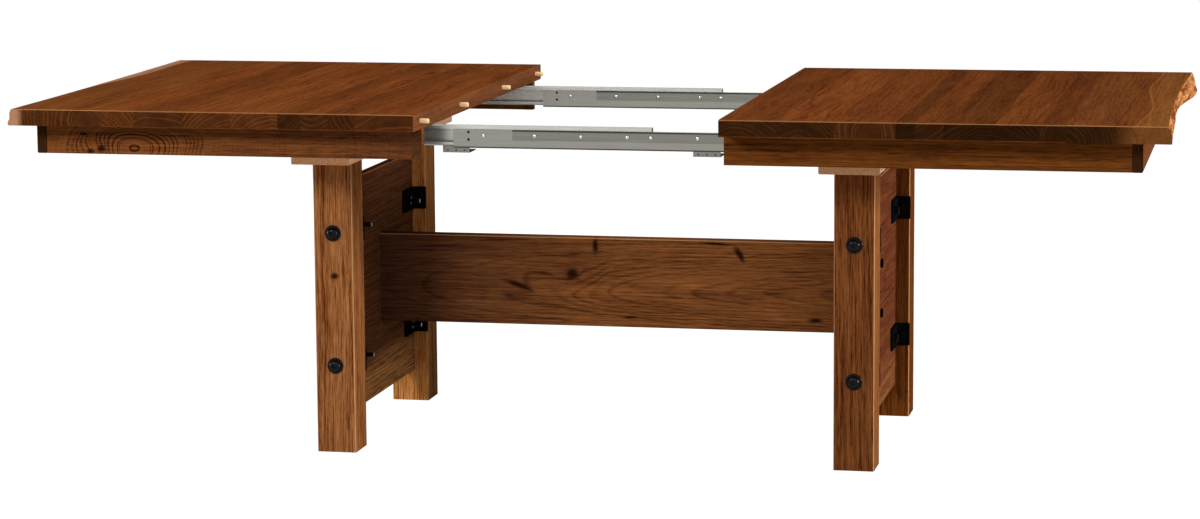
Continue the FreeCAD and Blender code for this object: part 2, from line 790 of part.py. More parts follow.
# Trestle base: legs, panels, head boards and stretcher
leg_holes = [("leg_width / 2", level) for level in LEG_BOLT_HEIGHTS]
lag_holes = [
    (f"leg_width / 2 + {side} * lag_reach", level) for level in LEG_BOLT_HEIGHTS for side in (-1, 1)
]
head_screw_sides = [f"{side} * head_screw_spread / 2" for side in (-1, 1)]
panel_length = "2 * leg_inner"
bolt_bite = "bolt_length - washer_thickness - leg_width + edge_ease"
head_screw_bite = "head_screw_length - head_thickness + edge_ease"
for half, sign in SIDES.items():
    for face, turn, toward in (("front", TURN_Z, -1), ("back", STRAIGHT, 1)):
        corner = (f"{sign} * trestle_place + {-toward} * leg_width / 2", f"{toward} * leg_inner", "0")
        leg = board(f"{half}_{face}_leg", corner, ("leg_width", "leg_width", "head_low"), "z", turn)
        bore(leg, "XZ_Plane", leg_holes, "bolt_hole", "leg_width", sides=FEW_SIDES)
        bore(leg, "XZ_Plane", lag_holes, "lag_hole", "lag_length", sides=FEW_SIDES)
        top_holes = [(f"leg_width / 2 + {side}", "leg_width / 2") for side in head_screw_sides]
        bore(leg, "XY_Plane", top_holes, "head_screw_hole", head_screw_bite, offset="head_low",
             sides=FEW_SIDES)

    panel_x = f"{sign} * trestle_place - panel_thickness / 2"
    panel = board(f"{half}_panel", (panel_x, "0 - leg_inner", "panel_low"),
                  ("panel_thickness", panel_length, "panel_height"), "y")
    through_holes = [
        (along, f"{level} - panel_low")
        for along in ("bracket_bolt_place", f"{panel_length} - bracket_bolt_place")
        for level in LEG_BOLT_HEIGHTS
    ]
    bore(panel, "YZ_Plane", through_holes, "bracket_bolt_hole", "panel_thickness",
         reverse=True, sides=FEW_SIDES)
    tie_holes = [
        ("leg_inner", f"stretcher_middle - panel_low + {side} * tie_bolt_spread / 2") for side in (-1, 1)
    ]
    bore(panel, "YZ_Plane", tie_holes, "tie_bolt_hole", "panel_thickness", reverse=True, sides=FEW_SIDES)
    edge_holes = [("panel_thickness / 2", f"{level} - panel_low") for level in LEG_BOLT_HEIGHTS]
    bore(panel, "XZ_Plane", edge_holes, "bolt_hole", bolt_bite, sides=FEW_SIDES)
    bore(panel, "XZ_Plane", edge_holes, "bolt_hole", bolt_bite, offset=f"0 - {panel_length}",
         reverse=True, sides=FEW_SIDES)

    head_x = f"{sign} * trestle_place - head_width / 2"
    head = board(f"{half}_head_board", (head_x, "0 - head_length / 2", "head_low"),
                 ("head_width", "head_length", "head_thickness"), "y")
    head_holes = [
        (f"head_width / 2 + {side}", f"head_length / 2 + {toward} * (leg_inner + leg_width / 2)")
        for toward in (-1, 1) for side in head_screw_sides
    ]
    bore(head, "XY_Plane", head_holes, "head_screw_hole", "head_thickness", reverse=True, sides=FEW_SIDES)
    guide_holes = [
        (f"head_width / 2 + {side} * guide_screw_place", f"head_length / 2 + {toward} * slide_place")
        for toward in (-1, 1) for side in (-1, 1)
    ]
    bore(head, "XY_Plane", guide_holes, "guide_screw_hole", "head_thickness", reverse=True, sides=FEW_SIDES)

stretcher_length = "2 * panel_face"
stretcher = board("stretcher", ("0 - panel_face", "0 - stretcher_thickness / 2", "stretcher_low"),
                  (stretcher_length, "stretcher_thickness", "stretcher_height"), "x")
tie_ends = [
    ("stretcher_thickness / 2", f"stretcher_height / 2 + {side} * tie_bolt_spread / 2") for side in (-1, 1)
]
tie_bite = "tie_bolt_length - panel_thickness + edge_ease"
bore(stretcher, "YZ_Plane", tie_ends, "tie_bolt_hole", tie_bite, reverse=True, sides=FEW_SIDES)
bore(stretcher, "YZ_Plane", tie_ends, "tie_bolt_hole", tie_bite, offset=stretcher_length, sides=FEW_SIDES)

# Corner brackets in the angles between panels and legs
bracket = new_body("bracket_pattern")
bracket_outline = (
    ("0", "0"),
    ("bracket_leg_flange", "0"),
    ("bracket_leg_flange", "bracket_gauge"),
    ("bracket_gauge", "bracket_gauge"),
    ("bracket_gauge", "bracket_panel_flange"),
    ("0", "bracket_panel_flange"),
)
pad(bracket, polygon(bracket, "XY_Plane", bracket_outline), "bracket_height")
bore(bracket, "YZ_Plane", [("bracket_bolt_place", "bracket_height / 2")], "bracket_bolt_hole",
     "bracket_gauge", reverse=True, sides=FEW_SIDES)
bore(bracket, "XZ_Plane", [("lag_place", "bracket_height / 2")], "lag_hole", "bracket_gauge",
     sides=FEW_SIDES)
bracket_turns = {
    (1, -1): (STRAIGHT, -1),
    (1, 1): (TURN_X, 1),
    (-1, 1): (TURN_Z, -1),
    (-1, -1): (TURN_Y, 1),
}

leg_bolt = stud("leg_bolt_pattern", "bolt_head_diameter", "bolt_head_height", "bolt_diameter",
                "bolt_length", domed=True)
washer_disc = prism("washer_disc", HEAD_SIDES, "washer_diameter", "washer_thickness")
washer_hole = prism("washer_hole", FEW_SIDES, "bolt_hole", "washer_thickness")
washer = combine("Part::Cut", "washer_pattern", washer_disc, washer_hole)
lag = stud("lag_pattern", "lag_head_width", "lag_head_height", "lag_diameter", "lag_length")
bracket_bolt = stud("bracket_bolt_pattern", "bracket_nut_width", "bracket_nut_height",
                    "bracket_bolt_diameter",
                    "panel_thickness + 2 * bracket_gauge + bracket_nut_height + bracket_bolt_end")
nut_block = prism("nut_block", FEW_SIDES, "bracket_nut_width", "bracket_nut_height")
nut_hole = prism("nut_hole", FEW_SIDES, "bracket_bolt_hole", "bracket_nut_height")
bracket_nut = combine("Part::Cut", "bracket_nut_pattern", nut_block, nut_hole)
tie_bolt = stud("tie_bolt_pattern", "tie_bolt_head_diameter", "tie_bolt_head_height", "tie_bolt_diameter",
                "tie_bolt_length")
head_screw = stud("head_screw_pattern", "head_screw_head_diameter", "head_screw_head_height",
                  "head_screw_diameter", "head_screw_length")
guide_screw = stud("guide_screw_pattern", "guide_screw_head_diameter", "guide_screw_head_height",
                   "guide_screw_diameter", "guide_screw_length")

# Guides that hold the rails on the head boards: the channel and the plate each have a groove
guide = new_body("guide_pattern")
pad(guide, rectangle(guide, "XY_Plane", "guide_base_length", "guide_width"), "guide_base_thickness")
guide_start = "(guide_base_length - guide_length) / 2"
guide_top = "guide_floor + guide_wall"
pad(guide, rectangle(guide, "XY_Plane", "guide_length", "guide_width", left=guide_start), guide_top)
channel_groove = rectangle(guide, "XY_Plane", "guide_base_length", "channel_depth + guide_clearance",
                           low="guide_width / 2 - channel_depth / 2", offset=guide_top)
pocket(guide, channel_groove, "guide_wall")
plate_side = "guide_width / 2 - plate_front - guide_clearance"
plate_groove = rectangle(guide, "XY_Plane", "guide_base_length", "plate_front + guide_clearance",
                         low=plate_side, offset=guide_top)
pocket(guide, plate_groove, "guide_wall")
plate_slot = rectangle(guide, "XY_Plane", "guide_base_length", "steel_gauge + 2 * guide_clearance",
                       low=plate_side, offset="guide_floor")
pocket(guide, plate_slot, "plate_drop")
guide_ears = [
    (f"guide_base_length / 2 + {side} * guide_screw_place", "guide_width / 2") for side in (-1, 1)
]
bore(guide, "XY_Plane", guide_ears, "guide_screw_hole", "guide_base_thickness", reverse=True,
     sides=FEW_SIDES)

bolts = []
washers = []
brackets = []
lags = []
bracket_bolts = []
bracket_nuts = []
tie_bolts = []
head_screws = []
guides = []
guide_screws = []
for sign in SIDES.values():
    trestle = f"{sign} * trestle_place"
    inward = TO_RIGHT if sign < 0 else TO_LEFT
    outward = TO_LEFT if sign < 0 else TO_RIGHT
    bolt_x = f"{sign} * (panel_back + bracket_gauge + bracket_nut_height)"
    nut_x = f"{sign} * (panel_face - bracket_gauge)"
    tie_x = f"{sign} * (panel_back + tie_bolt_head_height)"
    for side in (-1, 1):
        tie_bolts.append((tie_bolt, (tie_x, "0", f"stretcher_middle + {side} * tie_bolt_spread / 2"), inward))
    for toward, into_leg, out_of_leg in ((-1, TO_FRONT, TO_BACK), (1, TO_BACK, TO_FRONT)):
        for level in LEG_BOLT_HEIGHTS:
            bolt_y = f"{toward} * (leg_outer + washer_thickness + bolt_head_height)"
            bolts.append((leg_bolt, (trestle, bolt_y, level), out_of_leg))
            washer_y = f"{toward} * (leg_outer + washer_thickness)"
            washers.append((washer, (trestle, washer_y, level), out_of_leg))
            pair_y = f"{toward} * (leg_inner - bracket_bolt_place)"
            bracket_bolts.append((bracket_bolt, (bolt_x, pair_y, level), inward))
            bracket_nuts.append((bracket_nut, (nut_x, pair_y, level), inward))
            for side in (-1, 1):
                turn, low = bracket_turns[(side, toward)]
                corner_x = f"{trestle} + {side} * panel_thickness / 2"
                corner_z = f"{level} + {low} * bracket_height / 2"
                brackets.append((bracket, (corner_x, f"{toward} * leg_inner", corner_z), turn))
                lag_y = f"{toward} * (leg_inner - bracket_gauge - lag_head_height)"
                lags.append((lag, (f"{corner_x} + {side} * lag_place", lag_y, level), into_leg))
        leg_middle = f"{toward} * (leg_inner + leg_width / 2)"
        head_screw_z = "guide_low + head_screw_head_height"
        for side in head_screw_sides:
            head_screws.append((head_screw, (f"{trestle} + {side}", leg_middle, head_screw_z), TURN_X))
        slide_y = f"{toward} * slide_place"
        guide_x = f"{trestle} - guide_base_length / 2"
        guides.append((guide, (guide_x, f"{slide_y} - guide_width / 2", "guide_low"), STRAIGHT))
        guide_screw_z = "guide_low + guide_base_thickness + guide_screw_head_height"
        for side in (-1, 1):
            guide_screw_x = f"{trestle} + {side} * guide_screw_place"
            guide_screws.append((guide_screw, (guide_screw_x, slide_y, guide_screw_z), TURN_X))
group("leg_bolts", bolts)
group("leg_washers", washers)
group("corner_brackets", brackets)
group("bracket_lag_screws", lags)
group("bracket_bolts", bracket_bolts)
group("bracket_nuts", bracket_nuts)
group("stretcher_bolts", tie_bolts)
group("head_board_screws", head_screws)
group("rail_guides", guides)
group("guide_screws", guide_screws)

finish_document()
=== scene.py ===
import json
import logging
import math
from dataclasses import dataclass
from enum import Enum
from typing import Any

import bpy
from mathutils import Matrix, Vector, noise


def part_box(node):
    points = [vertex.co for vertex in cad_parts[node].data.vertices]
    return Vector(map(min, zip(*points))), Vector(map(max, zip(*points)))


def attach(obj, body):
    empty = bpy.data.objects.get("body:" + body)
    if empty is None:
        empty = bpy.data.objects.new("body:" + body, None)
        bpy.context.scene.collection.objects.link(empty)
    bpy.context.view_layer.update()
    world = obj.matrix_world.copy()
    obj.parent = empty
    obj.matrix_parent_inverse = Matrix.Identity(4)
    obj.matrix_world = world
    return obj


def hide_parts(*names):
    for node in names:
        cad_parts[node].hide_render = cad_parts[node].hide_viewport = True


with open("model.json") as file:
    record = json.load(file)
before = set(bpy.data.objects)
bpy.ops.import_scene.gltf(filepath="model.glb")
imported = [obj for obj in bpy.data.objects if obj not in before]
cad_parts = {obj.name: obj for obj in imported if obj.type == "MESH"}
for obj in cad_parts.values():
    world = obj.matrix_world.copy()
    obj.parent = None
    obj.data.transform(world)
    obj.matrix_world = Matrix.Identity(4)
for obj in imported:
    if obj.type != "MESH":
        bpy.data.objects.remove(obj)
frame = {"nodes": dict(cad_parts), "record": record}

log = logging.getLogger("extending_table")
MM = 0.001
# A surface faces along an axis as that part of its normal rises through this range.
FACING = {"From Min": 0.75, "From Max": 0.95}
NODES: dict[str, bpy.types.Object] = frame["nodes"]
BODY_OF: dict[str, str] = {
    node: body
    for body, members in frame["record"]["behaviour"]["bodies"].items()
    for node in members
}


# Tools for materials

def linear(code: str) -> tuple[float, float, float, float]:
    """Turn an sRGB hex colour into the linear colour that the shaders take.

    Args:
        code: six hex digits after a hash.

    Returns:
        Linear red, green, blue and an alpha of 1.
    """
    parts = [int(code[i:i + 2], 16) / 255 for i in (1, 3, 5)]
    red, green, blue = (
        part / 12.92 if part <= 0.04045 else ((part + 0.055) / 1.055) ** 2.4 for part in parts
    )
    return red, green, blue, 1.0


def shaded(code: str, shade: float) -> str:
    """Make a hex colour brighter or darker."""
    parts = (min(255, round(int(code[i:i + 2], 16) * shade)) for i in (1, 3, 5))
    return "#" + "".join(f"{part:02X}" for part in parts)


def add(tree: bpy.types.NodeTree, kind: str, inputs: dict[Any, Any] | None = None,
        **settings: Any) -> bpy.types.Node:
    """Add a node with its settings, values and links.

    Args:
        tree: the node tree to add to.
        kind: Blender's name of the node type.
        inputs: for each input, by name or number, a value, a socket or a node whose first output is linked.
        **settings: properties of the node itself.

    Returns:
        The new node.
    """
    node = tree.nodes.new(kind)
    for name, value in settings.items():
        setattr(node, name, value)
    for key, value in (inputs or {}).items():
        named = [item for item in node.inputs if item.enabled and item.name == key]
        socket = named[0] if named else node.inputs[key]
        if isinstance(value, bpy.types.Node):
            value = next(item for item in value.outputs if item.enabled)
        if isinstance(value, bpy.types.NodeSocket):
            tree.links.new(value, socket)
        else:
            socket.default_value = value
    return node


def new_material(name: str) -> tuple[bpy.types.Material, bpy.types.NodeTree]:
    """Start a material.

    Args:
        name: what the real material is.

    Returns:
        The material and its empty tree.
    """
    material = bpy.data.materials.new(name)
    material.use_nodes = True
    material.node_tree.nodes.clear()
    return material, material.node_tree


# Finishes

class Grain(Enum):
    """The way the fibres of a board run: the order of its axes across, up and along."""

    ALONG_X = (1, 2, 0)
    ALONG_Y = (0, 2, 1)
    ALONG_Z = (0, 1, 2)


class Edge(Enum):
    """The side of a plank that keeps the tree's own edge."""

    NONE = 0
    LEFT = -1
    RIGHT = 1


@dataclass(frozen=True)
class Knot:
    """A knot or a dark fleck on the face of a board.

    Attributes:
        along: place along the grain, mm.
        across: place across the grain on the face, mm.
        radius: half width of the dark eye, mm.
        stretch: length of the eye over its width.
        lean: slant of the eye from the grain, degrees.
    """

    along: float
    across: float
    radius: float
    stretch: float = 1.8
    lean: float = 0.0


@dataclass(frozen=True)
class Wood:
    """Stained walnut under satin lacquer.

    The eye sees a warm brown with thin growth lines, fine streaks, short pores and broad soft clouds, darker
    ends with light rings, and a painted highlight on the eased edges.

    Attributes:
        name: what the material is called.
        grain: the way of the fibres.
        light: the lightest streaks on the face.
        dark: the darkest streaks on the face.
        end_light: the lines on a cut end.
        end_dark: the ground of a cut end.
        end_contrast: strength of each pattern on a cut end.
        ring: mean width of a growth ring, mm, which is drawn up to twice as wide as real, so that it shows.
        pith: the tree's middle, across, up and along, mm.
        taper: how fast the rings close along the trunk.
        sway: how far the rings stray, in ring widths.
        bend: width and length of one bend of the rings, mm.
        lines: strength of the growth lines on the face.
        figure_reach: distance from the tree's middle at which the lines fade, mm, or 0.
        streaks: strength of the fine streaks.
        streak: width and length of the widest of the fine streaks, mm.
        pores: strength of the short pores.
        pore: width and length of a pore, mm. Real ones are a fifth of a millimetre wide: these are drawn
            coarser, so that they show.
        clouds: strength of the broad clouds.
        cloud: width and length of a cloud, mm.
        face_axis: the axis across the grain that knots are placed on.
        knots: knots on the face.
        eye_tone: the knots' dark eyes.
        edge: the side of the tree's own edge.
        sap_line: distance of the sapwood from the table's middle, mm.
        sap_light: the lightest sapwood.
        sap_dark: the darkest sapwood.
        sap_soak: how much darker, and how soft at its border, the staining leaves the sapwood's cut end.
        sap_back: how far the sapwood steps back on the cut end, mm.
        bark: light ridges, dark ridges and flakes of the under-bark.
        edge_highlight: the painted highlight on the eased edges.
        pale_below: height under which a board has a paler band, mm.
        pale: strength of that band.
        pale_tone: the lightest streaks in that band.
        dark_end: place along the grain where the board is darkest, mm.
        dark_reach: distance over which that darkness fades, mm, or 0.
        dark_depth: how deep that darkness is.
        dark_tone: the darkest tone there.
        side_painted_shading: how much a painted tone, lighter or darker, covers the board's left and right
            sides.
        side_shading_tone: that painted tone.
        roughness: how matt the lacquer is.
    """

    name: str
    grain: Grain
    light: str = "#8A5530"
    dark: str = "#4E2812"
    end_light: str = "#6E4427"
    end_dark: str = "#3A1E0F"
    end_contrast: float = 0.8
    ring: float = 5.0
    pith: tuple[float, float, float] = (0.0, 0.0, 0.0)
    taper: float = 0.05
    sway: float = 4.5
    bend: tuple[float, float] = (110.0, 500.0)
    lines: float = 0.35
    figure_reach: float = 0.0
    streaks: float = 0.9
    streak: tuple[float, float] = (4.0, 240.0)
    pores: float = 1.4
    pore: tuple[float, float] = (2.4, 34.0)
    clouds: float = 0.7
    cloud: tuple[float, float] = (34.0, 330.0)
    face_axis: int = 1
    knots: tuple[Knot, ...] = ()
    eye_tone: str = "#1C0E08"
    edge: Edge = Edge.NONE
    sap_line: float = 0.0
    sap_light: str = "#A06B3C"
    sap_dark: str = "#64391A"
    sap_soak: float = 0.0
    sap_back: float = 0.0
    bark: tuple[str, str, str] = ("#C58C54", "#6A2F12", "#5A230E")
    edge_highlight: str = "#B98A5E"
    pale_below: float = 0.0
    pale: float = 0.0
    pale_tone: str = "#E8A05C"
    dark_end: float = 0.0
    dark_reach: float = 0.0
    dark_depth: float = 0.72
    dark_tone: str = "#1A1216"
    side_painted_shading: float = 0.0
    side_shading_tone: str = "#8E7764"
    roughness: float = 0.55

    def material(self) -> bpy.types.Material:
        """Build the material from patterns in the board's own grain space.

        Returns:
            The material.
        """
        material, tree = new_material(self.name)
        coords = add(tree, "ShaderNodeTexCoord").outputs["Object"]
        split = add(tree, "ShaderNodeSeparateXYZ", {0: coords}).outputs
        axes = [split[axis] for axis in self.grain.value]
        space = add(tree, "ShaderNodeCombineXYZ", dict(enumerate(axes)))
        eyes, swell = self.knot_eyes(tree, axes)
        rings = self.growth_lines(tree, space, swell)
        fine, pores, broad = (
            self.stretched_noise(tree, space, size) for size in (self.streak, self.pore, self.cloud)
        )
        start = 0.5 - (self.streaks + self.pores + self.clouds) / 2
        tone = self.summed(tree, start, [
            (fine, self.streaks), (pores, self.pores), (broad, self.clouds), (rings, -self.lines)])
        end_tone = self.summed(tree, -0.5, [(part, self.end_contrast) for part in (fine, broad, rings)])
        face = add(tree, "ShaderNodeMix", {
            "Factor": tone, "A": linear(self.dark), "B": linear(self.light)}, data_type="RGBA")
        end = add(tree, "ShaderNodeMix", {
            "Factor": end_tone, "A": linear(self.end_dark), "B": linear(self.end_light)}, data_type="RGBA")

        # Cut across the fibres, the stain soaks in: ends are darker, with light lines.
        normal = add(tree, "ShaderNodeNewGeometry").outputs["Normal"]
        facing = add(tree, "ShaderNodeSeparateXYZ", {0: normal}).outputs
        turned = add(tree, "ShaderNodeMath", {0: facing[self.grain.value[2]]}, operation="ABSOLUTE")
        cut = add(tree, "ShaderNodeMapRange", {"Value": turned, **FACING})
        colour = add(tree, "ShaderNodeMix", {"Factor": cut, "A": face, "B": end}, data_type="RGBA")
        colour = self.painted_shading_and_bands(tree, colour, axes[2], split[2], facing[0], tone)
        if self.edge is not Edge.NONE:
            colour = self.sapwood(tree, colour, axes, space, facing[0], tone, cut)
        if eyes is not None:
            colour = add(tree, "ShaderNodeMix", {
                "Factor": eyes, "A": colour, "B": linear(self.eye_tone)}, data_type="RGBA")
        # Painted highlight: the eased edges are lightened.
        painted_highlight = self.painted_edge_highlight(tree, normal)
        colour = add(tree, "ShaderNodeMix", {
            "Factor": painted_highlight, "A": colour, "B": linear(self.edge_highlight)}, data_type="RGBA")
        bump = add(tree, "ShaderNodeBump", {"Strength": 0.2, "Distance": 0.3 * MM, "Height": fine})
        surface = add(tree, "ShaderNodeBsdfPrincipled", {
            "Base Color": colour, "Normal": bump, "Roughness": self.roughness, "Specular IOR Level": 0.0})
        add(tree, "ShaderNodeOutputMaterial", {"Surface": surface})
        return material

    @staticmethod
    def stretched_noise(tree: bpy.types.NodeTree, space: bpy.types.Node,
                        size: tuple[float, float]) -> bpy.types.Node:
        """Make streaks along the grain.

        Args:
            tree: the material's tree.
            space: place in the board's grain space.
            size: width and length of a streak, mm.

        Returns:
            Streaks from 0 to 1 about a mean of a half.
        """
        across, along = (1 / (part * MM) for part in size)
        place = add(tree, "ShaderNodeVectorMath", {0: space, 1: (across, across, along)},
                    operation="MULTIPLY")
        return add(tree, "ShaderNodeTexNoise", {
            "Vector": place, "Scale": 1.0, "Detail": 4.0, "Roughness": 0.7})

    @staticmethod
    def summed(tree: bpy.types.NodeTree, start: float,
               parts: list[tuple[bpy.types.Node, float]]) -> bpy.types.Node:
        """Add up patterns, each at its own strength.

        Args:
            tree: the material's tree.
            start: what the patterns are added to.
            parts: the patterns and their strengths.

        Returns:
            The sum.
        """
        total: Any = start
        for pattern, strength in parts:
            total = add(tree, "ShaderNodeMath", {0: pattern, 1: strength, 2: total}, operation="MULTIPLY_ADD")
        return total

    def growth_lines(self, tree: bpy.types.NodeTree, space: bpy.types.Node,
                     swell: bpy.types.Node | None) -> bpy.types.Node:
        """Draw the growth rings of a swaying trunk as thin lines of uneven strength.

        Args:
            tree: the material's tree.
            space: place in the board's grain space.
            swell: how far knots push the rings outwards.

        Returns:
            The lines, 0 between them and up to 1 on them.
        """
        width = self.ring * MM
        stray = self.sway * width
        across, along = (1 / (part * MM) for part in self.bend)
        slow = add(tree, "ShaderNodeVectorMath", {0: space, 1: (across, across, along)},
                   operation="MULTIPLY")
        sway = add(tree, "ShaderNodeTexNoise", {"Vector": slow, "Scale": 1.0, "Detail": 2.0})
        bent = add(tree, "ShaderNodeVectorMath", {
            0: sway.outputs["Color"], 1: (stray, stray, stray), 2: space}, operation="MULTIPLY_ADD")
        middle = tuple(part * MM + stray / 2 for part in self.pith)
        out = add(tree, "ShaderNodeVectorMath", {0: bent, 1: middle}, operation="SUBTRACT")
        out = add(tree, "ShaderNodeVectorMath", {0: out, 1: (1.0, 1.0, self.taper)}, operation="MULTIPLY")
        radius = add(tree, "ShaderNodeVectorMath", {0: out}, operation="LENGTH")
        if swell is not None:
            radius = add(tree, "ShaderNodeMath", {0: radius, 1: swell}, operation="ADD")

        # Good and bad years: rings differ in width, and their lines in strength.
        uneven = add(tree, "ShaderNodeTexNoise", {"W": radius, "Scale": 0.3 / width, "Detail": 1.0},
                     noise_dimensions="1D")
        phase = add(tree, "ShaderNodeMath", {0: radius, 1: 1 / width}, operation="MULTIPLY")
        phase = add(tree, "ShaderNodeMath", {0: uneven, 1: 3.0, 2: phase}, operation="MULTIPLY_ADD")
        share = add(tree, "ShaderNodeMath", {0: phase}, operation="FRACT")
        onset, crest = 0.4, 0.88
        rise = add(tree, "ShaderNodeMapRange", {"Value": share, "From Min": onset, "From Max": crest},
                   interpolation_type="SMOOTHSTEP")
        drop = add(tree, "ShaderNodeMapRange", {
            "Value": share, "From Min": crest, "From Max": 1.0, "To Min": 1.0, "To Max": 0.0})
        line = add(tree, "ShaderNodeMath", {0: rise, 1: drop}, operation="MULTIPLY")
        year = add(tree, "ShaderNodeMath", {0: phase}, operation="FLOOR")
        chance = add(tree, "ShaderNodeTexWhiteNoise", {"W": year}, noise_dimensions="1D")
        strength = add(tree, "ShaderNodeMapRange", {"Value": chance, "To Min": 0.1, "To Max": 1.0})
        if self.figure_reach:
            reach = self.figure_reach * MM
            fade = add(tree, "ShaderNodeMapRange", {
                "Value": radius, "From Min": 0.3 * reach, "From Max": reach, "To Min": 1.0, "To Max": 0.15},
                interpolation_type="SMOOTHSTEP")
            strength = add(tree, "ShaderNodeMath", {0: strength, 1: fade}, operation="MULTIPLY")
        return add(tree, "ShaderNodeMath", {0: line, 1: strength}, operation="MULTIPLY")

    def painted_shading_and_bands(self, tree: bpy.types.NodeTree, colour: bpy.types.Node, along: bpy.types.NodeSocket,
                     height: bpy.types.NodeSocket, outward: bpy.types.NodeSocket,
                     tone: bpy.types.Node) -> bpy.types.Node:
        """Lay a darker stretch, a paler lower band and a painted tone on the sides over a board that has
        them.

        Args:
            tree: the material's tree.
            colour: the evenly stained wood.
            along: place along the grain.
            height: height above the floor.
            outward: the X part of the surface's normal.
            tone: light and dark of the grain.

        Returns:
            The wood with them laid over.
        """
        # A darker stretch towards one place along the grain: painted shade on the legs and the stretcher.
        if self.dark_reach:
            away = add(tree, "ShaderNodeMath", {0: along, 1: self.dark_end * MM}, operation="SUBTRACT")
            away = add(tree, "ShaderNodeMath", {0: away}, operation="ABSOLUTE")
            darkening = add(tree, "ShaderNodeMapRange", {
                "Value": away, "From Max": self.dark_reach * MM, "To Min": self.dark_depth, "To Max": 0.0})
            colour = add(tree, "ShaderNodeMix", {
                "Factor": darkening, "A": colour, "B": linear(self.dark_tone)}, data_type="RGBA")
        if self.pale:
            border = 30.0
            band = add(tree, "ShaderNodeMapRange", {
                "Value": height, "From Min": (self.pale_below - border) * MM,
                "From Max": (self.pale_below + border) * MM, "To Min": self.pale, "To Max": 0.0})
            band = add(tree, "ShaderNodeMath", {0: tone, 1: band}, operation="MULTIPLY")
            colour = add(tree, "ShaderNodeMix", {
                "Factor": band, "A": colour, "B": linear(self.pale_tone)}, data_type="RGBA")
        # Painted light and shade: the left and right sides take another tone.
        if self.side_painted_shading:
            aside = add(tree, "ShaderNodeMath", {0: outward}, operation="ABSOLUTE")
            haze = add(tree, "ShaderNodeMapRange", {"Value": aside, **FACING, "To Max": self.side_painted_shading})
            colour = add(tree, "ShaderNodeMix", {
                "Factor": haze, "A": colour, "B": linear(self.side_shading_tone)}, data_type="RGBA")
        return colour

    @staticmethod
    def painted_edge_highlight(tree: bpy.types.NodeTree, normal: bpy.types.NodeSocket) -> bpy.types.Node:
        """Paint a highlight on the eased upper and upright edges: the surfaces that face along none of the
        table's axes.

        Args:
            tree: the material's tree.
            normal: the way the surface faces.

        Returns:
            The painted highlight, from 0 to its strength.
        """
        size = add(tree, "ShaderNodeVectorMath", {0: normal}, operation="ABSOLUTE")
        parts = add(tree, "ShaderNodeSeparateXYZ", {0: size}).outputs
        most = add(tree, "ShaderNodeMath", {0: parts[0], 1: parts[1]}, operation="MAXIMUM")
        most = add(tree, "ShaderNodeMath", {0: most, 1: parts[2]}, operation="MAXIMUM")
        eased = add(tree, "ShaderNodeMapRange", {
            "Value": most, "From Min": 0.75, "From Max": 0.9, "To Min": 0.6, "To Max": 0.0})
        # Edges that face down get no painted highlight, as shade falls there.
        level = add(tree, "ShaderNodeSeparateXYZ", {0: normal}).outputs[2]
        above = add(tree, "ShaderNodeMath", {0: level, 1: -0.2}, operation="GREATER_THAN")
        return add(tree, "ShaderNodeMath", {0: eased, 1: above}, operation="MULTIPLY")

    def knot_eyes(self, tree: bpy.types.NodeTree, axes: list[bpy.types.NodeSocket]
                  ) -> tuple[bpy.types.Node | None, bpy.types.Node | None]:
        """Place the knots.

        Args:
            tree: the material's tree.
            axes: places across, up and along the grain.

        Returns:
            The dark eyes from 0 to 1, and how far the rings swell round them.
        """
        eyes = swell = None
        for knot in self.knots:
            size = knot.radius * MM
            middle = (knot.across * MM, knot.along * MM, 0.0)
            offset = add(tree, "ShaderNodeCombineXYZ", {0: axes[self.face_axis], 1: axes[2]})
            offset = add(tree, "ShaderNodeVectorMath", {0: offset, 1: middle}, operation="SUBTRACT")
            offset = add(tree, "ShaderNodeVectorRotate", {
                "Vector": offset, "Angle": math.radians(knot.lean)}, rotation_type="Z_AXIS")
            offset = add(tree, "ShaderNodeVectorMath", {0: offset, 1: (1.0, 1 / knot.stretch, 0.0)},
                         operation="MULTIPLY")
            far = add(tree, "ShaderNodeVectorMath", {0: offset}, operation="LENGTH")
            rough = add(tree, "ShaderNodeTexNoise", {"Vector": offset, "Scale": 0.7 / size, "Detail": 3.0})
            far = add(tree, "ShaderNodeMath", {0: rough, 1: size, 2: far}, operation="MULTIPLY_ADD")
            eye = add(tree, "ShaderNodeMapRange", {
                "Value": far, "From Min": 0.75 * size, "From Max": 1.7 * size, "To Min": 0.95, "To Max": 0.0},
                interpolation_type="SMOOTHSTEP")
            near = add(tree, "ShaderNodeMapRange", {
                "Value": far, "From Min": 0.0, "From Max": 5.0 * size, "To Min": 0.7 * size, "To Max": 0.0},
                interpolation_type="SMOOTHSTEP")
            if eyes is not None:
                eye = add(tree, "ShaderNodeMath", {0: eyes, 1: eye}, operation="MAXIMUM")
                near = add(tree, "ShaderNodeMath", {0: swell, 1: near}, operation="ADD")
            eyes, swell = eye, near
        return eyes, swell

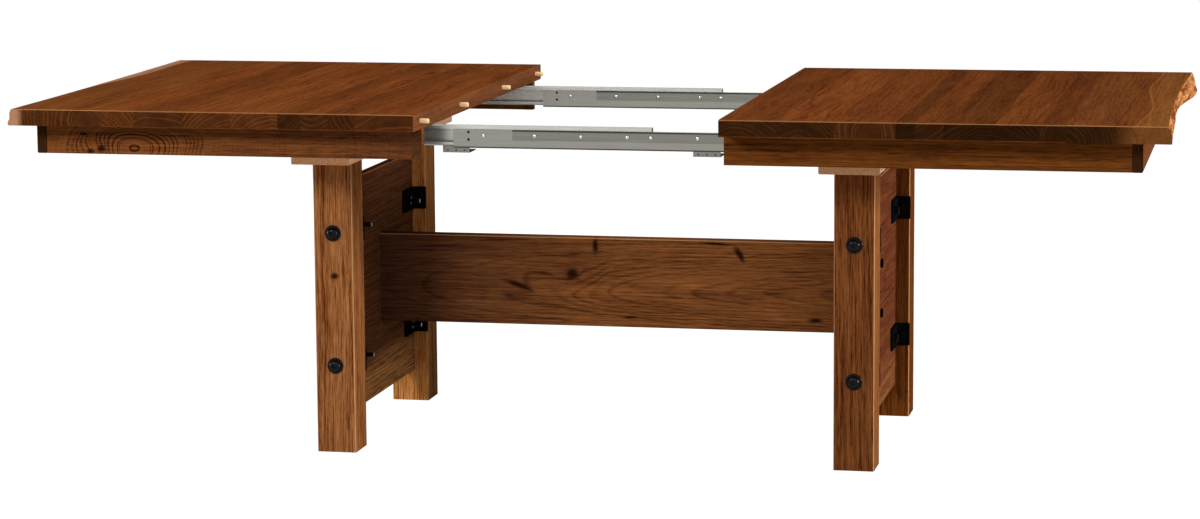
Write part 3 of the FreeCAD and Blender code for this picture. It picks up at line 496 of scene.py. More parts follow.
    def sapwood(self, tree: bpy.types.NodeTree, colour: bpy.types.Node, axes: list[bpy.types.NodeSocket],
                space: bpy.types.Node, outward: bpy.types.NodeSocket, tone: bpy.types.Node,
                cut: bpy.types.Node) -> bpy.types.Node:
        """Lay pale sapwood beside the live edge, and orange under-bark on the edge itself.

        Args:
            tree: the material's tree.
            colour: the heartwood's colour.
            axes: places across, up and along the grain.
            space: place in the board's grain space.
            outward: the X part of the surface's normal.
            tone: light and dark of the grain.
            cut: the ends, cut across the fibres.

        Returns:
            The colour with sapwood and under-bark.
        """
        side = float(self.edge.value)
        stray = 60 * MM
        border = self.sap_line * MM + stray / 2
        wander = add(tree, "ShaderNodeTexNoise", {"W": axes[2], "Scale": 1.7, "Detail": 0.0},
                     noise_dimensions="1D")
        reach = add(tree, "ShaderNodeMath", {0: axes[0], 1: side}, operation="MULTIPLY")
        reach = add(tree, "ShaderNodeMath", {0: wander, 1: stray, 2: reach}, operation="MULTIPLY_ADD")
        reach = add(tree, "ShaderNodeMath", {0: cut, 1: -self.sap_back * MM, 2: reach},
                    operation="MULTIPLY_ADD")
        start = add(tree, "ShaderNodeMath", {0: cut, 1: -0.2 * self.sap_soak, 2: border - 4 * MM},
                    operation="MULTIPLY_ADD")
        pale = add(tree, "ShaderNodeMapRange", {
            "Value": reach, "From Min": start, "From Max": border + 16 * MM}, interpolation_type="SMOOTHSTEP")
        sap = add(tree, "ShaderNodeMix", {
            "Factor": tone, "A": linear(self.sap_dark), "B": linear(self.sap_light)}, data_type="RGBA")
        soaked = add(tree, "ShaderNodeMath", {0: cut, 1: self.sap_soak}, operation="MULTIPLY")
        sap = add(tree, "ShaderNodeMix", {
            "Factor": soaked, "A": sap, "B": linear(self.end_dark)}, data_type="RGBA")
        colour = add(tree, "ShaderNodeMix", {"Factor": pale, "A": colour, "B": sap}, data_type="RGBA")

        # A lighter line runs where the sapwood meets the heartwood, but not across the cut ends.
        beside = add(tree, "ShaderNodeMath", {0: reach, 1: border + 2 * MM}, operation="SUBTRACT")
        beside = add(tree, "ShaderNodeMath", {0: beside}, operation="ABSOLUTE")
        rim = add(tree, "ShaderNodeMapRange", {
            "Value": beside, "From Min": 0.0, "From Max": 5 * MM, "To Min": 0.35, "To Max": 0.0},
            interpolation_type="SMOOTHSTEP")
        whole = add(tree, "ShaderNodeMath", {0: 1.0, 1: cut}, operation="SUBTRACT")
        rim = add(tree, "ShaderNodeMath", {0: rim, 1: whole}, operation="MULTIPLY")
        rim_tone = linear(shaded(self.sap_light, 1.15))
        colour = add(tree, "ShaderNodeMix", {"Factor": rim, "A": colour, "B": rim_tone}, data_type="RGBA")
        grown = add(tree, "ShaderNodeMath", {0: outward, 1: side}, operation="MULTIPLY")
        grown = add(tree, "ShaderNodeMapRange", {"Value": grown, "From Min": 0.3, "From Max": 0.7})
        bark = self.under_bark(tree, space)
        return add(tree, "ShaderNodeMix", {"Factor": grown, "A": colour, "B": bark}, data_type="RGBA")

    def under_bark(self, tree: bpy.types.NodeTree, space: bpy.types.Node) -> bpy.types.Node:
        """Mix the ridges and flakes that the bark leaves on the grown edge.

        Args:
            tree: the material's tree.
            space: place in the board's grain space.

        Returns:
            The colour of the under-bark.
        """
        light, dark, flake = (linear(code) for code in self.bark)
        ridges = self.stretched_noise(tree, space, (9.0, 60.0))
        ridges = add(tree, "ShaderNodeMapRange", {"Value": ridges, "From Min": 0.38, "From Max": 0.68})
        bark = add(tree, "ShaderNodeMix", {"Factor": ridges, "A": dark, "B": light}, data_type="RGBA")
        flakes = self.stretched_noise(tree, space, (26.0, 110.0))
        flakes = add(tree, "ShaderNodeMapRange", {
            "Value": flakes, "From Min": 0.46, "From Max": 0.58, "To Max": 0.85})
        return add(tree, "ShaderNodeMix", {"Factor": flakes, "A": bark, "B": flake}, data_type="RGBA")


@dataclass(frozen=True)
class PlainStuff:
    """Bare wood or a moulded plastic: pale and dull, with soft streaks.

    Attributes:
        name: what the material is called.
        grain: the way of the streaks.
        light: the lightest streaks.
        dark: the darkest streaks.
        streak: width of a streak, mm, drawn coarser than real fibres, so that it shows.
        roughness: how dull the surface is.
        gloss: strength of its sheen.
    """

    name: str
    grain: Grain
    light: str
    dark: str
    streak: float = 3.0
    roughness: float = 0.55
    gloss: float = 0.3

    def material(self) -> bpy.types.Material:
        """Build the material from streaks of the stated width.

        Returns:
            The material.
        """
        material, tree = new_material(self.name)
        coords = add(tree, "ShaderNodeTexCoord").outputs["Object"]
        stretch = [1 / (self.streak * MM)] * 3
        stretch[self.grain.value[2]] = 1 / (30 * self.streak * MM)
        place = add(tree, "ShaderNodeVectorMath", {0: coords, 1: tuple(stretch)}, operation="MULTIPLY")
        streaks = add(tree, "ShaderNodeTexNoise", {"Vector": place, "Scale": 1.0, "Detail": 3.0})
        streaks = add(tree, "ShaderNodeMapRange", {"Value": streaks, "From Min": 0.3, "From Max": 0.7})
        colour = add(tree, "ShaderNodeMix", {
            "Factor": streaks, "A": linear(self.dark), "B": linear(self.light)}, data_type="RGBA")
        surface = add(tree, "ShaderNodeBsdfPrincipled", {
            "Base Color": colour, "Roughness": self.roughness, "Specular IOR Level": self.gloss})
        add(tree, "ShaderNodeOutputMaterial", {"Surface": surface})
        return material


@dataclass(frozen=True)
class Metal:
    """Rolled or turned steel, plated or painted.

    Attributes:
        name: what the material is called.
        light: the lightest rolling lines.
        dark: the darkest rolling lines.
        metallic: 1 for plated metal, 0 for paint.
        roughness: how dull the surface is.
        mottle: width of a rolling line, mm. Real ones are a tenth of a millimetre wide: these are drawn
            coarser, so that they show.
        gloss: strength of the sheen on paint.
        rim: a painted tone, sheen or shade, on lips, edges and holes, which are turned away from front and
            back, or nothing.
        seam: half width of a dark line along an edge, mm, or 0; on the strips, a painted shadow.
        dark_line_tone: that line's tone.
    """

    name: str
    light: str
    dark: str
    metallic: float
    roughness: float
    mottle: float = 4.0
    gloss: float = 0.5
    rim: str = ""
    seam: float = 0.0
    dark_line_tone: str = "#3A3832"

    def material(self, dark_line_height: float = 0.0) -> bpy.types.Material:
        """Build the material from rolling lines along X.

        Args:
            dark_line_height: height of the dark line along an edge, m, for a metal that has one.

        Returns:
            The material.
        """
        material, tree = new_material(self.name)
        coords = add(tree, "ShaderNodeTexCoord").outputs["Object"]
        size = self.mottle * MM
        place = add(tree, "ShaderNodeVectorMath", {0: coords, 1: (1 / (20 * size), 1 / size, 1 / size)},
                    operation="MULTIPLY")
        rolled = add(tree, "ShaderNodeTexNoise", {"Vector": place, "Scale": 1.0, "Detail": 3.0})
        colour = add(tree, "ShaderNodeMix", {
            "Factor": rolled, "A": linear(self.dark), "B": linear(self.light)}, data_type="RGBA")
        metallic: Any = self.metallic
        # A dark line along an edge at the given height; on the strips, a painted shadow under the flange
        # above.
        if self.seam:
            seam = self.seam * MM
            height = add(tree, "ShaderNodeSeparateXYZ", {0: coords}).outputs[2]
            away = add(tree, "ShaderNodeMath", {0: height, 1: dark_line_height}, operation="SUBTRACT")
            away = add(tree, "ShaderNodeMath", {0: away}, operation="ABSOLUTE")
            clear = add(tree, "ShaderNodeMapRange", {"Value": away, "From Min": seam / 2, "From Max": seam})
            colour = add(tree, "ShaderNodeMix", {
                "Factor": clear, "A": linear(self.dark_line_tone), "B": colour}, data_type="RGBA")
        # Painted sheen and shade: surfaces turned away from front and back take the flat rim tone instead of
        # the metal's sheen.
        if self.rim:
            normal = add(tree, "ShaderNodeNewGeometry").outputs["Normal"]
            front = add(tree, "ShaderNodeSeparateXYZ", {0: normal}).outputs[1]
            front = add(tree, "ShaderNodeMath", {0: front}, operation="ABSOLUTE")
            flat = add(tree, "ShaderNodeMapRange", {"Value": front, **FACING})
            colour = add(tree, "ShaderNodeMix", {
                "Factor": flat, "A": linear(self.rim), "B": colour}, data_type="RGBA")
            metallic = add(tree, "ShaderNodeMath", {0: flat, 1: self.metallic}, operation="MULTIPLY")
        spread = 0.06
        rough = add(tree, "ShaderNodeMapRange", {
            "Value": rolled, "To Min": self.roughness - spread, "To Max": self.roughness + spread})
        surface = add(tree, "ShaderNodeBsdfPrincipled", {
            "Base Color": colour, "Metallic": metallic, "Roughness": rough, "Specular IOR Level": self.gloss})
        add(tree, "ShaderNodeOutputMaterial", {"Surface": surface})
        return material


# Tools for pieces

def dress(node: str, material: bpy.types.Material) -> None:
    """Give a CAD node its material.

    Args:
        node: the node's name.
        material: its material.
    """
    mesh = NODES[node].data
    mesh.materials.clear()
    mesh.materials.append(material)
    log.info("dressed %s with %s", node, material.name)


def stand_for(piece: bpy.types.Object, node: str, material: bpy.types.Material) -> None:
    """Let a finer piece take a CAD node's place.

    Args:
        piece: the finer piece.
        node: the CAD node, whose body the piece takes.
        material: the piece's material.
    """
    piece.data.materials.clear()
    piece.data.materials.append(material)
    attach(piece, BODY_OF[node])
    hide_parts(node)
    log.info("made %s for %s", piece.name, node)


def new_object(name: str, mesh: bpy.types.Mesh) -> bpy.types.Object:
    """Put a mesh in the scene as an object at the origin.

    Args:
        name: the object's name.
        mesh: its mesh.

    Returns:
        The object.
    """
    piece = bpy.data.objects.new(name, mesh)
    bpy.context.scene.collection.objects.link(piece)
    return piece


def solids_of(node: str) -> list[tuple[Vector, Vector]]:
    """Find the separate solids of a CAD node.

    Args:
        node: the node's name.

    Returns:
        The lowest and highest corner of each solid, in order of place.
    """
    mesh = NODES[node].data
    keys = [tuple(round(part, 6) for part in vertex.co) for vertex in mesh.vertices]
    parent = {key: key for key in keys}

    def root(key: tuple[float, ...]) -> tuple[float, ...]:
        """Follow the links to the group's first corner.

        Args:
            key: a corner of the group.

        Returns:
            The group's first corner.
        """
        while parent[key] != key:
            parent[key] = parent[parent[key]]
            key = parent[key]
        return key

    for polygon in mesh.polygons:
        first = root(keys[polygon.vertices[0]])
        for index in polygon.vertices[1:]:
            parent[root(keys[index])] = first
    groups: dict[tuple[float, ...], list[tuple[float, ...]]] = {}
    for key in parent:
        groups.setdefault(root(key), []).append(key)
    boxes = [
        (Vector([min(axis) for axis in zip(*group)]), Vector([max(axis) for axis in zip(*group)]))
        for group in groups.values()
    ]
    return sorted(boxes, key=lambda box: tuple(round(part, 4) for part in box[0]))


# The sliding halves

@dataclass
class LiveEdge:
    """The outer plank of a half, with the uneven side that the tree grew.

    Attributes:
        half: left or right.
        side: the side that the edge is on.
        rows: cuts along the plank.
        steps: levels down the grown side.
        ridge: depth of the ridges, mm.
        proud: how far a ridge may stand out, mm.
        ridges: ridges in a metre along the plank, and in its thickness.
        rounding: how far the grown side turns in at the top and at the underside, mm.
        easing: width of the eased top edge at both ends, mm.
    """

    half: str
    side: Edge
    rows: int = 200
    steps: int = 12
    ridge: float = 4.0
    proud: float = 0.6
    ridges: tuple[float, float] = (9.0, 1.6)
    rounding: float = 2.5
    easing: float = 1.6

    def outline(self, points: list[Vector], level: float) -> list[Vector]:
        """Pick the grown edge's points at a level of the CAD plank, from front to back.

        Args:
            points: the CAD plank's corners.
            level: the height of the points.

        Returns:
            The outermost point at each place along the plank.
        """
        picked: dict[float, Vector] = {}
        for point in points:
            if abs(point.z - level) < 0.1 * MM:
                key = round(point.y, 5)
                if key not in picked or point.x * self.side.value > picked[key].x * self.side.value:
                    picked[key] = point
        return [picked[key] for key in sorted(picked)]

    @staticmethod
    def at(line: list[Vector], y: float) -> float:
        """Read an edge line's X at a place along the plank.

        Args:
            line: points from front to back.
            y: the place.

        Returns:
            The X of the line there.
        """
        for before, after in zip(line, line[1:]):
            if before.y <= y <= after.y:
                share = (y - before.y) / max(after.y - before.y, 1e-9)
                return before.x + share * (after.x - before.x)
        return line[0].x if y < line[0].y else line[-1].x

    def section(self, y: float, ends: tuple[float, float], levels: tuple[float, float],
                joint: float) -> list[Vector]:
        """Cut the plank at one place.

        Args:
            y: the place along the plank.
            ends: X of the grown edge at the top and at the underside.
            levels: Z of the underside and of the top.
            joint: X of the straight side.

        Returns:
            The corners round the cut.
        """
        sign = self.side.value
        low, high = levels
        along, down = self.ridges
        corners = [Vector((joint, y, low)), Vector((joint, y, high))]
        for step in range(self.steps + 1):
            share = step / self.steps
            turn_in = self.rounding * MM * abs(2 * share - 1) ** 5
            # The first value only keeps the two halves' ridges from being alike.
            rough = noise.fractal(Vector((sign * 3, y * along, share * down)), 1.0, 2.0, 4)
            dip = self.ridge * MM * rough * (0.25 + math.sin(math.pi * share))
            x = ends[0] + (ends[1] - ends[0]) * share - sign * (turn_in + max(dip, -self.proud * MM))
            corners.append(Vector((x, y, high + (low - high) * share)))
        return corners

    def build(self, material: bpy.types.Material) -> bpy.types.Object:
        """Make the plank as a skin of rows from front to back, closed at both ends.

        Args:
            material: the plank's material.

        Returns:
            The finished piece.
        """
        node = f"{self.half}_live_edge_plank"
        low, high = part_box(node)
        points = [vertex.co.copy() for vertex in NODES[node].data.vertices]
        top_line, low_line = self.outline(points, high.z), self.outline(points, low.z)
        joint = high.x if self.side is Edge.LEFT else low.x
        vertices: list[Vector] = []
        for row in range(self.rows + 1):
            at_end = row in (0, self.rows)
            share = min(max(row - 1, 0) / (self.rows - 2), 1.0)
            inset = 0.0 if at_end else self.easing * MM
            y = low.y + inset + (high.y - low.y - 2 * inset) * share
            inner = min(max(y, top_line[0].y), top_line[-1].y)
            ends = (self.at(top_line, inner), self.at(low_line, inner))
            top = high.z - (self.easing * MM if at_end else 0.0)
            vertices += self.section(y, ends, (low.z, top), joint)
        count = self.steps + 3
        flip = -1 if self.side is Edge.RIGHT else 1
        faces = []
        for row in range(self.rows):
            for item in range(count):
                start, after = row * count + item, row * count + (item + 1) % count
                faces.append((start, after, after + count, start + count)[::flip])
        front = tuple(range(count))
        faces.append(front[::-flip])
        faces.append(tuple(self.rows * count + item for item in front)[::flip])
        mesh = bpy.data.meshes.new(f"{node}_grown")
        mesh.from_pydata(vertices, [], faces)
        mesh.shade_smooth()
        mesh.set_sharp_from_angle(angle=math.radians(40))
        piece = new_object(f"{node}_grown", mesh)
        stand_for(piece, node, material)
        return piece


@dataclass(frozen=True)
class PlankLook:
    """How one plank of the top was cut from the tree.

    Attributes:
        shade: brightness of the face.
        end_shade: brightness of the cut end.
        aside: the tree's middle, beside the plank's middle, mm.
        above: the tree's middle, above the underside, mm.
        haze: how much a painted sheen pales the plank's left and right sides.
    """

    shade: float
    end_shade: float
    aside: float
    above: float
    haze: float = 0.0


@dataclass
class TopHalf:
    """One sliding half of the top: planks across the table, and aprons below them.

    Attributes:
        half: left or right.
        side: the side that the live edge is on.
        sap_line: distance of the sapwood from the table's middle, mm.
        sap: the lightest and the darkest sapwood.
        sap_soak: how much the stain darkens the sapwood's cut end.
        sap_back: how far the sapwood steps back on the cut end, mm.
        eye: the tree's middle in the live-edge plank, across and up, mm.
        end_shade: brightness of that plank's cut end.
        looks: the other planks, from the table's middle outwards.
        figure: the tree's middle in the front apron: height, place along and depth behind its face, mm.
        taper: how fast the rings close along that apron.
        lines: strength of that apron's growth lines.
        sway: how far they stray, in ring widths.
        apron: the lightest and the darkest streaks of the front and back aprons.
        darkening: where these aprons are darkest, and how far that reaches, mm.
        knots: knots on the front apron.
        face: the lightest and the darkest streaks of a plank's face.
        cut_end: the lines and the ground of a plank's cut end.
        edge_face: the lightest and the darkest streaks of the live-edge plank.
    """

    half: str
    side: Edge
    sap_line: float
    sap: tuple[str, str]
    sap_soak: float
    sap_back: float
    eye: tuple[float, float]
    end_shade: float
    looks: tuple[PlankLook, ...]
    figure: tuple[float, float, float]
    taper: float
    lines: float
    sway: float
    apron: tuple[str, str]
    darkening: tuple[float, float] = (0.0, 0.0)
    knots: tuple[Knot, ...] = ()
    face: tuple[str, str] = ("#824920", "#451D0F")
    cut_end: tuple[str, str] = ("#603619", "#311708")
    edge_face: tuple[str, str] = ("#874F24", "#492111")

    def dress_planks(self) -> None:
        """Give each plank its own cut of the tree."""
        names = [f"{self.half}_inner_plank"] + [f"{self.half}_plank_{i}" for i in range(1, len(self.looks))]
        for name, look in zip(names, self.looks):
            low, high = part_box(name)
            middle = (low.x + high.x) / 2 / MM
            light, dark = (shaded(code, look.shade) for code in self.face)
            end_light, end_dark = (shaded(code, look.end_shade) for code in self.cut_end)
            # Sanded planks from several trees: quiet grain, a brown of its own for each, arcs on the cut end,
            # a painted highlight on the eased edges, and a painted sheen on the sides of a plank that has
            # one.
            finish = Wood(
                f"stained walnut {name}", Grain.ALONG_Y, light, dark, end_light, end_dark, ring=9.0,
                pith=(middle + look.aside, low.z / MM + look.above, 150.0), taper=0.03, lines=0.22,
                streaks=0.8, clouds=0.9, edge_highlight="#96683F", side_painted_shading=look.haze)
            dress(name, finish.material())

    def dress_aprons(self) -> None:
        """Stain the aprons, with the grain along each board."""
        up, along, behind = self.figure
        for board, knots in (("front", self.knots), ("back", ())):
            name = f"{self.half}_{board}_apron"
            low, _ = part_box(name)
            # Boards sawn near a branch: dark lines, which close to rings where its middle comes near.
            finish = Wood(
                f"stained walnut {name}", Grain.ALONG_X, *self.apron, ring=5.0,
                pith=(low.y / MM + behind, up, along), taper=self.taper, sway=self.sway, lines=self.lines,
                figure_reach=110.0, streaks=1.4, clouds=1.0, knots=knots, dark_end=self.darkening[0],
                dark_reach=self.darkening[1], dark_depth=0.25)
            dress(name, finish.material())
        name = f"{self.half}_end_apron"
        low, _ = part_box(name)
        # A plain board below the live edge: an even brown, almost black on the end that shows at the corner.
        finish = Wood(
            f"stained walnut {name}", Grain.ALONG_Y, "#6A3E22", "#442210", "#442812", "#24120A", streaks=1.3,
            pith=(low.x / MM - 60, low.z / MM + 30, 0.0))
        dress(name, finish.material())
        if f"{self.half}_apron_blocks" in NODES:
            # Offcuts set with their cut end to the front: dark, with light lines.
            finish = Wood("stained walnut apron blocks", Grain.ALONG_Y, end_light="#6A4426",
                          end_dark="#331B0E", pith=(-300.0, 640.0, 0.0))
            dress(f"{self.half}_apron_blocks", finish.material())

    def build(self) -> None:
        """Build the half's live edge and dress its boards."""
        self.dress_planks()
        self.dress_aprons()
        end_light, end_dark = (shaded(code, self.end_shade) for code in self.cut_end)
        # A plank that keeps the tree's outside: brown heartwood, paler sapwood, orange ridges on the edge,
        # and a painted highlight on the eased edges.
        finish = Wood(
            f"stained walnut {self.half} live edge", Grain.ALONG_Y, *self.edge_face, end_light, end_dark,
            ring=9.0, pith=(*self.eye, 150.0), taper=0.03, lines=0.22, streaks=0.8, clouds=0.9,
            edge=self.side, sap_line=self.sap_line, sap_light=self.sap[0], sap_dark=self.sap[1],
            sap_soak=self.sap_soak, sap_back=self.sap_back, edge_highlight="#B07E4C")
        LiveEdge(self.half, self.side).build(finish.material())


LEFT_HALF = TopHalf(
    "left", Edge.LEFT, sap_line=1190.0, sap=("#B88A68", "#8A5E42"), sap_soak=0.0, sap_back=-20.0,
    eye=(-1031.0, 738.0), end_shade=1.0,
    looks=(
        PlankLook(1.02, 0.95, 30.0, -130.0, haze=0.08), PlankLook(0.94, 0.8, 60.0, 60.0),
        PlankLook(1.06, 0.85, 0.0, 80.0), PlankLook(0.93, 0.75, -80.0, 90.0),
        PlankLook(1.04, 1.12, 40.0, -60.0), PlankLook(1.08, 1.05, 60.0, -70.0),
        PlankLook(0.97, 0.95, 0.0, -150.0), PlankLook(1.1, 1.1, -70.0, -40.0)),
    figure=(673.0, -946.0, 6.0), taper=0.55, lines=1.0, sway=11.0, apron=("#8C5329", "#35180B"),
    darkening=(-318.0, 640.0),
    knots=(Knot(-1021.0, 674.0, 9.0, 1.4), Knot(-1045.0, 668.0, 6.0, 2.0), Knot(-1060.0, 704.0, 4.0, 3.0)))
RIGHT_HALF = TopHalf(
    "right", Edge.RIGHT, sap_line=1150.0, sap=("#98602F", "#5A3014"), sap_soak=0.25, sap_back=0.0,
    eye=(990.0, 700.0), end_shade=0.66,
    looks=(
        PlankLook(0.97, 0.75, -20.0, -60.0), PlankLook(1.08, 0.72, -30.0, -80.0),
        PlankLook(1.0, 0.92, 10.0, 8.0), PlankLook(0.86, 0.55, 0.0, 120.0),
        PlankLook(1.0, 0.7, -60.0, 100.0), PlankLook(0.88, 0.56, 40.0, -90.0),
        PlankLook(1.02, 0.56, -60.0, -70.0), PlankLook(0.91, 0.68, 10.0, 10.0)),
    figure=(540.0, 600.0, 60.0), taper=0.06, lines=0.4, sway=4.5, apron=("#7E481B", "#331608"))


# The base

@dataclass(frozen=True)
class LegLook:
    """How one leg was cut and stained.

    Attributes:
        name: the leg's node.
        aside: the tree's middle, beside the leg's left side, mm.
        behind: the tree's middle, behind the leg's front, mm.
        light: the lightest streaks.
        dark: the darkest streaks.
        haze: how much a painted tone, lighter or darker, covers the left and right sides.
        tone: that painted tone.
        dark_reach: how far the painted shade below the top reaches, mm, or 0.
        knots: knots on the front.
    """

    name: str
    aside: float
    behind: float
    light: str
    dark: str
    haze: float = 0.0
    tone: str = "#000000"
    dark_reach: float = 0.0
    knots: tuple[Knot, ...] = ()


@dataclass(frozen=True)
class PanelLook:
    """How one trestle's panel and head board were cut and stained.

    Attributes:
        half: left or right.
        light: the panel's lightest streaks.
        dark: the panel's darkest streaks.
        pale: strength of the paler band along the panel's lower edge.
        board: brightness of the head board, raised as painted light against the apron's shade over its end.
    """

    half: str
    light: str
    dark: str
    pale: float
    board: float


@dataclass
class Trestles:
    """The fixed base: four legs, two panels, two head boards and the stretcher.

    Attributes:
        legs: the legs' looks.
        panels: the looks of the panels and head boards.
        head_board: the lightest and the darkest streaks of a head board.
        stretcher_knots: knots on the stretcher.
    """

    # Painted light and shade: the left back leg is paler, and the right legs darker, than the left front leg,
    # as light and shade fall on them; painted shade darkens the left back leg's sides and painted light pales
    # the right front leg's.
    legs: tuple[LegLook, ...] = (
        LegLook("left_front_leg", -220.0, 160.0, "#B07444", "#582A0F", dark_reach=220.0,
                knots=(Knot(385.0, -562.0, 11.0, 0.9),)),
        LegLook("left_back_leg", -30.0, 90.0, "#EAA45C", "#8C4C1E", haze=0.5, tone="#1A1216"),
        LegLook("right_front_leg", 120.0, 60.0, "#864F28", "#3A1908", haze=0.12, tone="#B88350"),
        LegLook("right_back_leg", 10.0, 130.0, "#734019", "#3A1804"))
    panels: tuple[PanelLook, ...] = (
        PanelLook("left", "#6C4428", "#3A1E13", pale=0.85, board=1.36),
        PanelLook("right", "#6C3B22", "#3B1B10", pale=0.15, board=1.3))
    head_board: tuple[str, str] = ("#B78760", "#8F6341")
    stretcher_knots: tuple[Knot, ...] = (
        Knot(-113.0, 352.0, 16.0, 1.3), Knot(-238.0, 326.0, 8.0, 6.0, -20.0),
        Knot(-58.0, 415.0, 8.0, 3.0, 90.0), Knot(210.0, 427.0, 4.0, 12.0, -3.0),
        Knot(264.0, 407.0, 9.0, 3.0, -60.0), Knot(17.0, 258.0, 3.5, 6.0), Knot(432.0, 262.0, 7.0, 3.0))

    def dress_legs(self) -> None:
        """Stain the legs, with the grain upright."""
        for leg in self.legs:
            low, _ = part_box(leg.name)
            # Square posts of rough-grained walnut: long upright streaks and clear pores, with painted shade
            # below the top and painted tones on the sides, where a leg has them.
            finish = Wood(
                f"stained walnut {leg.name}", Grain.ALONG_Z, leg.light, leg.dark, ring=5.5,
                pith=(low.x / MM + leg.aside, low.y / MM + leg.behind, 720.0), taper=0.08, lines=0.4,
                streaks=2.1, pores=2.0, clouds=0.8, face_axis=0, knots=leg.knots, dark_end=640.0,
                dark_depth=0.2, dark_reach=leg.dark_reach, side_painted_shading=leg.haze, side_shading_tone=leg.tone)
            dress(leg.name, finish.material())

    def dress_boards(self) -> None:
        """Stain the panels and the stretcher, and leave the head boards pale."""
        for look in self.panels:
            name = f"{look.half}_panel"
            low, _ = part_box(name)
            # Thin boards in the trestle's shade: a greyer brown, with paler streaks along the lower edge.
            finish = Wood(
                f"stained walnut {name}", Grain.ALONG_Y, look.light, look.dark, ring=6.0,
                pith=(low.x / MM - 90, 330.0, 200.0), taper=0.12, lines=0.3, streaks=2.0, pale_below=150.0,
                pale=look.pale)
            dress(name, finish.material())
            name = f"{look.half}_head_board"
            # Planed poplar without stain: pale and plain, the lightest wood of the base, and paler still by
            # painted light against the apron's shade.
            light, dark = (shaded(code, look.board) for code in self.head_board)
            bare = PlainStuff(f"poplar {name}", Grain.ALONG_Y, light, dark)
            dress(name, bare.material())
        low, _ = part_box("stretcher")
        # One wide board: lively streaks with black knots and flecks, and painted shade that turns it almost
        # black at its left end, by the panel.
        finish = Wood(
            "stained walnut stretcher", Grain.ALONG_X, "#925A2F", "#422110", ring=6.0,
            pith=(low.y / MM + 30, 319.0, 640.0), taper=0.1, lines=0.32, streaks=1.9, clouds=0.9,
            knots=self.stretcher_knots, dark_end=-552.0, dark_reach=480.0)
        dress("stretcher", finish.material())

    def build(self) -> None:
        """Dress the whole base."""
        self.dress_legs()
        self.dress_boards()


# Slides and fasteners

@dataclass(frozen=True)
class Turned:
    """A small round piece, turned from a profile of radius and height, with an optional hexagon socket.

    Attributes:
        profile: radius and height of each ring from the foot to the crown, mm.
        sides: flats round the piece.
        socket: depth of the hexagon socket in the crown, mm, or 0.
        socket_share: the socket's width over the crown's.
    """

    profile: tuple[tuple[float, float], ...]
    sides: int = 32
    socket: float = 0.0
    socket_share: float = 0.8

    def mesh(self, name: str) -> bpy.types.Mesh:
        """Turn the profile about Z.

        Args:
            name: the mesh's name.

        Returns:
            The turned mesh.
        """
        angles = [2 * math.pi * side / self.sides for side in range(self.sides)]
        vertices = []
        for radius, height in self.profile:
            for angle in angles:
                vertices.append((radius * MM * math.cos(angle), radius * MM * math.sin(angle), height * MM))
        if self.socket:
            radius, height = self.profile[-1]
            for drop in (0.0, self.socket):
                for angle in angles:
                    flat = math.cos(math.pi / 6) / math.cos(angle % (math.pi / 3) - math.pi / 6)
                    reach = self.socket_share * radius * MM * flat
                    vertices.append((reach * math.cos(angle), reach * math.sin(angle), (height - drop) * MM))
        faces = [tuple(range(self.sides))[::-1]]
        levels = len(vertices) // self.sides
        for level in range(levels - 1):
            for side in range(self.sides):
                after = (side + 1) % self.sides
                low, high = level * self.sides, (level + 1) * self.sides
                faces.append((low + side, low + after, high + after, high + side))
        faces.append(tuple((levels - 1) * self.sides + side for side in range(self.sides)))
        mesh = bpy.data.meshes.new(name)
        mesh.from_pydata(vertices, [], faces)
        mesh.shade_smooth()
        mesh.set_sharp_from_angle(angle=math.radians(38))
        return mesh


